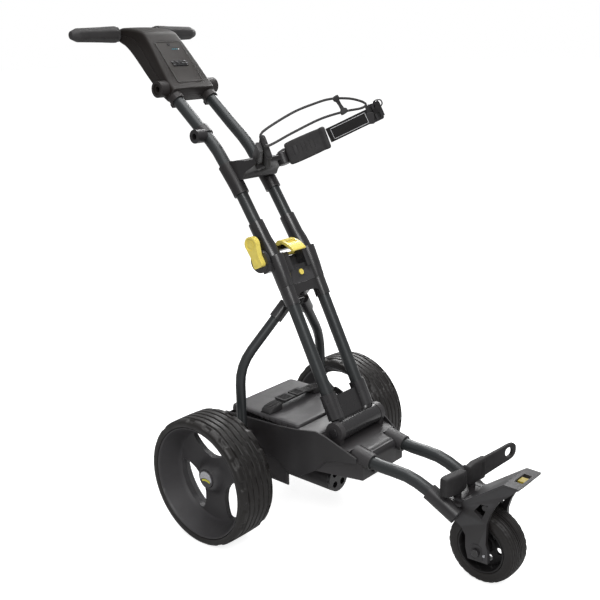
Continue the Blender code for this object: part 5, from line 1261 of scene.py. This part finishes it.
def strap_point(t, off):
    """A point along the strap, off its line towards the front."""
    return STRAP_START.lerp(STRAP_END, t) - back * off


path = spline([STRAP_START - back * 0.004, strap_point(0.25, 0.0052), strap_point(0.5, 0.0046),
               strap_point(0.75, 0.0034), STRAP_END - back * 0.004 + STRAP_D * 0.004], 0.003)
fine(ribbon(path, -back, 0.033, 0.0024), "bag_strap", "webbing", bevel=0.0003, angle=40,
     body="upper_frame")
# second layer with a light stitch line round it
path = spline([strap_point(0.12, 0.0066), strap_point(0.5, 0.007), strap_point(0.95, 0.0062)],
              0.003)
extra(ribbon(path, -back, 0.027, 0.0016), "bag_strap_patch", "webbing", "upper_frame",
      bevel=0.0003, angle=40)
start, end = strap_point(0.1, 0.0078), strap_point(0.96, 0.0074)
edge = STRAP_D.cross(-back).normalized() * 1.0
corners = [start + edge * 0.0118, start - edge * 0.0118, end - edge * 0.0118,
           end + edge * 0.0118]
stitch = [corners[i].lerp(corners[(i + 1) % 4], k / 12) for i in range(4) for k in range(12)]
extra(sweep(stitch, 0.00045, closed=True), "bag_strap_stitch", "white_ink", "upper_frame",
      angle=60)

# ladder buckle: a frame with two slots and bars, a wedge and a ring
BUCKLE = vec(0.1765, -0.13, 0.906)
BUCKLE_N = -back.normalized()                           # out of its face, towards the front
BUCKLE_V = STRAP_D.cross(BUCKLE_N).normalized()         # across the strap


def buckle_point(along, wide=0.0, out=0.0):
    return BUCKLE + STRAP_D * along + BUCKLE_V * wide + BUCKLE_N * out


def slab(centre, half_u, half_v, half_n, radius, u=STRAP_D, v=BUCKLE_V):
    """A plate with rounded corners, lying in the buckle's plane."""
    outline = rectangle(-half_u, half_u, -half_v, half_v, radius)
    return loft([[centre + u * a + v * b + BUCKLE_N * n for a, b in outline]
                 for n in (-half_n, half_n)])


buckle = slab(BUCKLE + STRAP_D * 0.006, 0.015, 0.0208, 0.0048, 0.005)
cut(buckle, slab(BUCKLE + STRAP_D * 0.0005 + BUCKLE_N * 0.004, 0.0028, 0.015, 0.004, 0.001),
    slab(BUCKLE + STRAP_D * 0.012 + BUCKLE_N * 0.004, 0.0032, 0.015, 0.004, 0.001))
join(buckle, rod(buckle_point(0.0065, -0.019, 0.004), buckle_point(0.0065, 0.019, 0.004), 0.0034),
     slab(BUCKLE + STRAP_D * 0.02, 0.004, 0.015, 0.0062, 0.002))
fine(buckle, "strap_buckle", "gloss_block", bevel=0.0008, body="upper_frame")
wedge = slab(BUCKLE - STRAP_D * 0.008 + BUCKLE_N * 0.003 + BUCKLE_V * 0.008,
             0.0085, 0.0125, 0.0032, 0.003, u=(STRAP_D + BUCKLE_V * 0.35).normalized(),
             v=(BUCKLE_V - STRAP_D * 0.35).normalized())
extra(wedge, "strap_buckle_tongue", "satin_plastic", "upper_frame",
      bevel=0.0008)
centre = buckle_point(0.019, -0.014, 0.001)
path = []
for k in range(28):
    angle = 2 * math.pi * k / 28
    sine = math.sin(angle)
    path.append(centre + STRAP_D * (0.0105 * math.cos(angle))
                + BUCKLE_V * (0.0085 * math.copysign(abs(sine) ** 0.8, sine)))
extra(sweep(path, 0.0015, closed=True), "strap_ring", "gloss_block", "upper_frame",
      angle=60)
path = spline([BUCKLE + STRAP_D * along + BUCKLE_N * out - BUCKLE_V * wide
               for along, out, wide in ((0.004, 0.0062, 0.002), (0.014, 0.008, 0.004),
                                        (0.018, 0.006, 0.012), (0.0165, 0.0035, 0.02))], 0.002)
extra(ribbon(path, BUCKLE_N, 0.012, 0.0018), "strap_tail", "webbing", "upper_frame",
      bevel=0.0003, angle=40)

# elastic cord: a closed loop, and a flat moulded tie between its two runs
CORD = [                                                # x, y, z
    (-0.112, -0.068, 0.888), (-0.024, -0.07, 0.919), (0.04, -0.08, 0.935),
    (0.084, -0.089, 0.942), (0.13, -0.104, 0.94), (0.16, -0.118, 0.931),
    (0.163, -0.123, 0.924), (0.15, -0.118, 0.918), (0.11, -0.106, 0.914),
    (0.05, -0.087, 0.902), (-0.03, -0.076, 0.879), (-0.106, -0.076, 0.86),
    (-0.115, -0.074, 0.874)]
path = spline([vec(*p) for p in CORD], 0.004, closed=True)
fine(sweep(path, 0.0027, closed=True, uv=True, flatten=False), "bungee_cord", "braided_cord",
     angle=60, body="upper_frame")
start, end = vec(0.096, -0.0925, 0.943), vec(0.108, -0.1055, 0.9138)
along = (end - start).normalized()
out = square_to(vec(0.35, 0.93, 0.05), along)
wide = along.cross(out).normalized()
length = (end - start).length
TIE = [                                                 # place along, half width, half thickness
    (-0.005, 0.004, 0.0022), (-0.004, 0.0075, 0.0042), (0.004, 0.0075, 0.0042),
    (0.0075, 0.0046, 0.002), (length / 2, 0.0038, 0.0016),
    (length - 0.0075, 0.0046, 0.002), (length - 0.004, 0.009, 0.0042),
    (length + 0.004, 0.009, 0.0042), (length + 0.005, 0.004, 0.0022)]
tie = loft([squared_ring(start + along * t, (wide, w, 0.5), (out, thick, 0.6), 20)
            for t, w, thick in TIE])
extra(tie, "cord_tie", "pad_rubber", "upper_frame", bevel=0.0004, angle=45)

# accessory clip on the right upper tube
centre, half = vec(-TUBE_X, 0.172, 0.8692), vec(0, 0.772, 0.636) * 0.011
clip = join(rod(centre - half, centre + half, 0.018),
            x_rod(-0.06, -0.088, (0.164, 0.864), 0.0155))
cut(clip, sweep(upper_path(-1)[5:], BORE_R), x_rod(-0.078, -0.1, (0.164, 0.864), 0.007))
fine(clip, "accessory_clip", "satin_plastic", bevel=0.0009)

# ------------------------------------------------------------------ handle
HANDLE_C, HANDLE_V = vec(0, 0.2608, 0.9489), vec(0, -0.6374, 0.7705)
HANDLE_STATIONS = [                                     # top, bottom, half width
    (HANDLE_C + HANDLE_V * 0.02, HANDLE_C - HANDLE_V * 0.02, 0.0665),
    (vec(0, 0.268, 0.984), vec(0, 0.302, 0.953), 0.0665),
    (vec(0, 0.3, 1.0225), vec(0, 0.345, 0.988), 0.062),
    (vec(0, 0.344, 1.074), vec(0, 0.398, 1.033), 0.0545),
    (vec(0, 0.37, 1.093), vec(0, 0.427, 1.056), 0.053),
    (vec(0, 0.43, 1.102), vec(0, 0.444, 1.066), 0.056),
    (vec(0, 0.464, 1.096), vec(0, 0.464, 1.074), 0.052)]
SPLIT, SPLIT_GAP = 0.52, 0.00015                        # share of the height, half the gap


def smooth_stations():
    """The handle's stations with six more between each two."""
    out, last = [], len(HANDLE_STATIONS) - 1
    for k in range(last):
        four = [HANDLE_STATIONS[min(max(k + i, 0), last)] for i in (-1, 0, 1, 2)]
        out += [tuple(catmull_rom(*values, i / 7) for values in zip(*four)) for i in range(7)]
    return out + [HANDLE_STATIONS[-1]]


def half_ring(top, bottom, width, upper, shrink=0.0):
    """Section of the upper or lower half of the handle, with rounded outer corners."""
    rise = top - bottom
    height = rise.length
    rise = rise.normalized()
    if upper:
        origin, sign = bottom + rise * (height * SPLIT + SPLIT_GAP), 1
        depth = height * (1 - SPLIT) - SPLIT_GAP
        width = width - 0.0016
    else:
        origin, sign = bottom + rise * (height * SPLIT - SPLIT_GAP), -1
        depth = height * SPLIT - SPLIT_GAP
    depth -= shrink
    width -= shrink
    corner = min(0.0085, depth * 0.75)
    crown = 0.001 if upper else 0.0
    places = [(-width, 0)]
    for i in range(8):
        a = math.pi / 2 * i / 7
        places.append((-width + corner - corner * math.cos(a),
                       depth - crown - corner + corner * math.sin(a)))
    for i in range(1, 8):
        u = -1 + 2 * i / 8
        places.append((u * (width - corner), depth - crown * u * u))
    for i in range(8):
        a = math.pi / 2 * (1 - i / 7)
        places.append((width - corner + corner * math.cos(a),
                       depth - crown - corner + corner * math.sin(a)))
    places.append((width, 0))
    return [vec(x, 0, 0) + origin + rise * (sign * h) for x, h in places]


def shell(upper):
    """One half of the handle, its two ends drawn in."""
    stations = smooth_stations()

    def end_ring(end, inward, distance, shrink):
        t = distance / (((inward[0] + inward[1]) - (end[0] + end[1])).length / 2)
        return half_ring(end[0].lerp(inward[0], t), end[1].lerp(inward[1], t), end[2], upper,
                         shrink)

    rings = [end_ring(*stations[:2], *pair)
             for pair in ((0.0, 0.0022), (0.0008, 0.0008), (0.0022, 0.0))]
    rings += [half_ring(*station, upper) for station in stations[1:-1]]
    rings += [end_ring(stations[-1], stations[-2], *pair)
              for pair in ((0.004, 0.0), (0.0016, 0.0012), (0.0, 0.0034))]
    return loft(rings)


# lower shell with tube collars, clip lugs, side sockets and the grip bars
SOCKET = (0.281, 0.964)                                 # y, z
body, parts, cuts = shell(False), [], []
for _, side in SIDES:
    before, end = upper_path(side)[-2:]
    along = (end - before).normalized()
    under = vec(0, along.z, -along.y)
    lug_root = end - along * 0.006
    lug = [lug_root + under * 0.012 - along * 0.0045, lug_root + under * 0.0215 - along * 0.003,
           lug_root + under * 0.0205 + along * 0.006, lug_root + under * 0.012 + along * 0.01]
    parts += [rod(end - along * 0.0105, end + along * 0.0046, 0.0176),
              x_rod(side * 0.062, side * 0.088, SOCKET, 0.0188),
              prism(flat(lug), side * TUBE_X - 0.007, side * TUBE_X + 0.007)]
    cuts += [rod(end + along * 0.0006, end - along * 0.05, BORE_R),
             x_rod(side * 0.076, side * 0.1, SOCKET, 0.007),
             x_rod(side * 0.086, side * 0.1, SOCKET, 0.0125)]
cut(join(body, *parts), *cuts)
join(body, *[rod(vec(side * 0.048, GRIP_Y, 1.077), vec(side * 0.172, GRIP_Y, 1.08), 0.006)
             for _, side in SIDES])
fine(body, "handle_body", "handle_shell", bevel=0.001, body="upper_frame")

TOP_LINE = flat(top for top, _, _ in smooth_stations())
panel_d = (vec(0, 0.348, 1.079) - vec(0, 0.259, 0.9765)).normalized()
PANEL_N = vec(0, -panel_d.z, panel_d.y)


def on_cover(y):
    """A point in the middle of the cover's top line."""
    for (ya, za), (yb, zb) in zip(TOP_LINE, TOP_LINE[1:]):
        if ya <= y <= yb:
            return vec(0, y, za + (zb - za) * (y - ya) / (yb - ya))


def panel_slab(y0, y1, bottom, top, x0, x1, radius=0.006):
    """A plate that follows the cover's top line, with rounded corners in plan."""
    rings = []
    for i in range(17):
        length = (y1 - y0) * 1.5
        u = i / 16 * length
        reach = min(u, length - u, radius)
        inset = radius - math.sqrt(max(radius * radius - (radius - reach) ** 2, 0.0))
        p = on_cover(y0 + (y1 - y0) * i / 16)
        rings.append([vec(x, 0, 0) + p + PANEL_N * h for x, h in (
            (x0 + inset, bottom), (x1 - inset, bottom), (x1 - inset, top), (x0 + inset, top))])
    return loft(rings)


def node_centre(node):
    lowest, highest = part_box(node)
    return (lowest + highest) / 2 - SHIFT


DIAL, POWER = node_centre("speed_dial"), node_centre("power_button")


def control_holes():
    return [x_rod(-0.0235, 0.0235, DIAL.yz, 0.0104) if DIAL.x is None else
            rod(vec(-0.0235, DIAL.y, DIAL.z), vec(0.0235, DIAL.y, DIAL.z), 0.0104),
            rod(POWER - PANEL_N * 0.012, POWER + PANEL_N * 0.02, 0.005)]


cover = cut(shell(True), panel_slab(0.26, 0.34, -0.0016, 0.02, -0.04, 0.04), *control_holes())
fine(cover, "handle_cover", "handle_shell", bevel=0.0008, body="upper_frame")
panel = cut(panel_slab(0.2604, 0.3396, -0.0013, -0.0002, -0.0396, 0.0396), *control_holes(),
            panel_slab(0.3205, 0.3265, -0.0007, 0.01, 0.001, 0.026, 0.0025))
fine(panel, "control_panel", "panel_gloss", bevel=0.0003, body="upper_frame")
for k in range(4):                                      # lamps in the slot, the last one white
    centre = vec(0.0045 + 0.006 * k, *on_cover(0.3235).yz)
    lamp = rod(centre - PANEL_N * 0.0009, centre + PANEL_N * 0.0001, 0.0013)
    extra(lamp, "panel_lamp_%d" % (k + 1), "white_ink" if k == 3 else "led_teal",
          "upper_frame", bevel=0.0002)
# a thin raised line round the panel
edge = []
for x, order in ((-0.0385, 1), (0.0385, -1)):
    for y in [0.2625 + (0.3375 - 0.2625) * i / 20 for i in range(21)][::order]:
        edge.append(vec(x, *on_cover(y).yz) + PANEL_N * 0.0001)
extra(sweep(round_path(edge + [edge[0]], 0.001, 1)[:-1], 0.0006, closed=True),
      "panel_outline", "panel_gloss", "upper_frame", angle=60)

# thumb wheel with finger lumps and three grooves; power button with a rim
DIAL_PROFILE = [                                        # x, share of the radius
    (-0.023, 0.8), (-0.0226, 0.94), (-0.0215, 1.0), (-0.0128, 1.0), (-0.0125, 0.88),
    (-0.0105, 0.88), (-0.0102, 1.0), (-0.0013, 1.0), (-0.001, 0.88)]
DIAL_PROFILE += [(-x, share) for x, share in reversed(DIAL_PROFILE)]
rings = []
for x, share in DIAL_PROFILE:
    row = []
    for i in range(96):
        t = 2 * math.pi * i / 96
        r = (0.009 + 0.0008 * math.cos(12 * t)) * share
        row.append(DIAL + vec(x, r * math.cos(t), r * math.sin(t)))
    rings.append(row)
fine(loft(rings), "speed_dial", "gloss_block", bevel=0.0003, body="dial")
top = POWER + PANEL_N * 0.0041
button = cut(rod(POWER - PANEL_N * 0.0041, top, 0.0045),
             rod(top - PANEL_N * 0.0004, top + PANEL_N * 0.01, 0.0034))
fine(button, "power_button", "pad_rubber", bevel=0.0003, body="power")

# grips: eight-sided, tapered rubber sleeves with a collar and a chamfered end
GRIP = [                                                # x, half depth, half height
    (0.0578, 0.015, 0.016), (0.0584, 0.016, 0.017), (0.0622, 0.016, 0.017),
    (0.063, 0.015, 0.0162), (0.0648, 0.015, 0.0162), (0.0656, 0.0172, 0.0186),
    (0.069, 0.0176, 0.019), (0.085, 0.0172, 0.0184), (0.1, 0.0166, 0.0176),
    (0.125, 0.016, 0.0168), (0.15, 0.0155, 0.0161), (0.17, 0.015, 0.0155),
    (0.173, 0.0142, 0.0147), (0.188, 0.0088, 0.0092), (0.1893, 0.0076, 0.008)]
OCTAGON = [(-1, -0.45), (-0.45, -1), (0.45, -1), (1, -0.45), (1, 0.45), (0.45, 1), (-0.45, 1),
           (-1, 0.45)]
for name, side in SIDES:
    rings = []
    for x, depth, height in GRIP:
        section = rounded([(a * depth, b * height) for a, b in OCTAGON], 0.003, 3)
        rings.append([vec(side * x, GRIP_Y, GRIP_Z) + vec(0, a, b) for a, b in section])
    sleeve = loft(rings)
    cut(sleeve, rod(vec(side * 0.02, GRIP_Y, 1.0763), vec(side * 0.1726, GRIP_Y, 1.08), 0.0064))
    ribs = []                                           # cross grooves on the underside
    for k in range(12):
        x = 0.08 + 0.007 * k
        ribs.append(box(*across(side, x, x + 0.0022), GRIP_Y - 0.007, GRIP_Y + 0.007,
                        GRIP_Z - 0.02, GRIP_Z - 0.016 + 0.0022 * (k / 11)))
    fine(cut(sleeve, *ribs), "grip_" + name, "grip_rubber", bevel=0.0006, angle=30,
         body="upper_frame")

# ------------------------------------------------------------------ CAD nodes kept, repainted
for node, look in (("gearbox_housing", "cast_metal"), ("worm_wheel", "bronze"),
                   ("motor_rotor", "steel"), ("drive_axle", "steel")):
    ob = frame["nodes"][node]
    ob.data.materials.clear()
    ob.data.materials.append(LOOKS[look])

for ob in PIECES:                                       # to the frame's origin
    ob.data.transform(Matrix.Translation(SHIFT))

# ------------------------------------------------------------------ floor, light and camera
shape = bmesh.new()
shape.faces.new([shape.verts.new(vec(x, y, -0.0005))
                 for x, y in ((-30, -30), (30, -30), (30, 30), (-30, 30))])
floor = mesh_object(shape, flatten=False)
floor.name = floor.data.name = "floor"
floor.data.materials.append(LOOKS["pale_floor"])

world = bpy.data.worlds.new("studio")
bpy.context.scene.world = world
world.use_nodes = True
nodes, links = world.node_tree.nodes, world.node_tree.links
background = nodes["Background"]
background.inputs["Color"].default_value = (1.0, 1.0, 1.0, 1)
light_path = nodes.new("ShaderNodeLightPath")
power = nodes.new("ShaderNodeMapRange")
power.inputs["To Min"].default_value = 0.42             # light on the trolley
power.inputs["To Max"].default_value = 1.0              # what the camera sees
links.new(light_path.outputs["Is Camera Ray"], power.inputs["Value"])
links.new(power.outputs[0], background.inputs["Strength"])


def area_light(name, location, target, width, height, energy):
    light = bpy.data.lights.new(name, "AREA")
    light.shape = "RECTANGLE"
    light.size, light.size_y = width, height
    light.energy = energy
    ob = bpy.data.objects.new(name, light)
    ob.location = Vector(location) + SHIFT
    ob.rotation_mode = "QUATERNION"
    ob.rotation_quaternion = (Vector(target) - Vector(location)).to_track_quat("-Z", "Y")
    COLLECTION.objects.link(ob)


area_light("key", location=(-1.6, -2.2, 2.6), target=(0, -0.1, 0.4), width=1.5, height=1.5,
           energy=66)
area_light("top", location=(0.2, 0.0, 3.0), target=(0, -0.1, 0.4), width=2.0, height=2.0,
           energy=50)
area_light("rim_light", location=(2.2, 1.2, 2.0), target=(0, 0, 0.5), width=1.0, height=1.8,
           energy=46)

camera_data = bpy.data.cameras.new("camera")
camera = bpy.data.objects.new("camera", camera_data)
COLLECTION.objects.link(camera)
camera_data.sensor_width = 36.0
camera_data.sensor_fit = "HORIZONTAL"
camera_data.lens = 54.745
camera_data.clip_start, camera_data.clip_end = 0.05, 100
azimuth, elevation, roll = (math.radians(a) for a in (-48.5474, 16.2174, -1.3421))
backward = vec(math.sin(azimuth) * math.cos(elevation),
               -math.cos(azimuth) * math.cos(elevation), math.sin(elevation))
level = (-backward).cross(vec(0, 0, 1)).normalized()
upright = level.cross(-backward)
matrix = Matrix((level * math.cos(roll) + upright * math.sin(roll),
                 upright * math.cos(roll) - level * math.sin(roll),
                 backward)).transposed().to_4x4()
matrix.translation = vec(-1.474, -1.3623, 1.0767) + SHIFT
camera.matrix_world = matrix
bpy.context.scene.camera = camera
bpy.context.scene.view_settings.view_transform = "Standard"
bpy.context.scene.view_settings.look = "None"

bpy.context.view_layer.update()
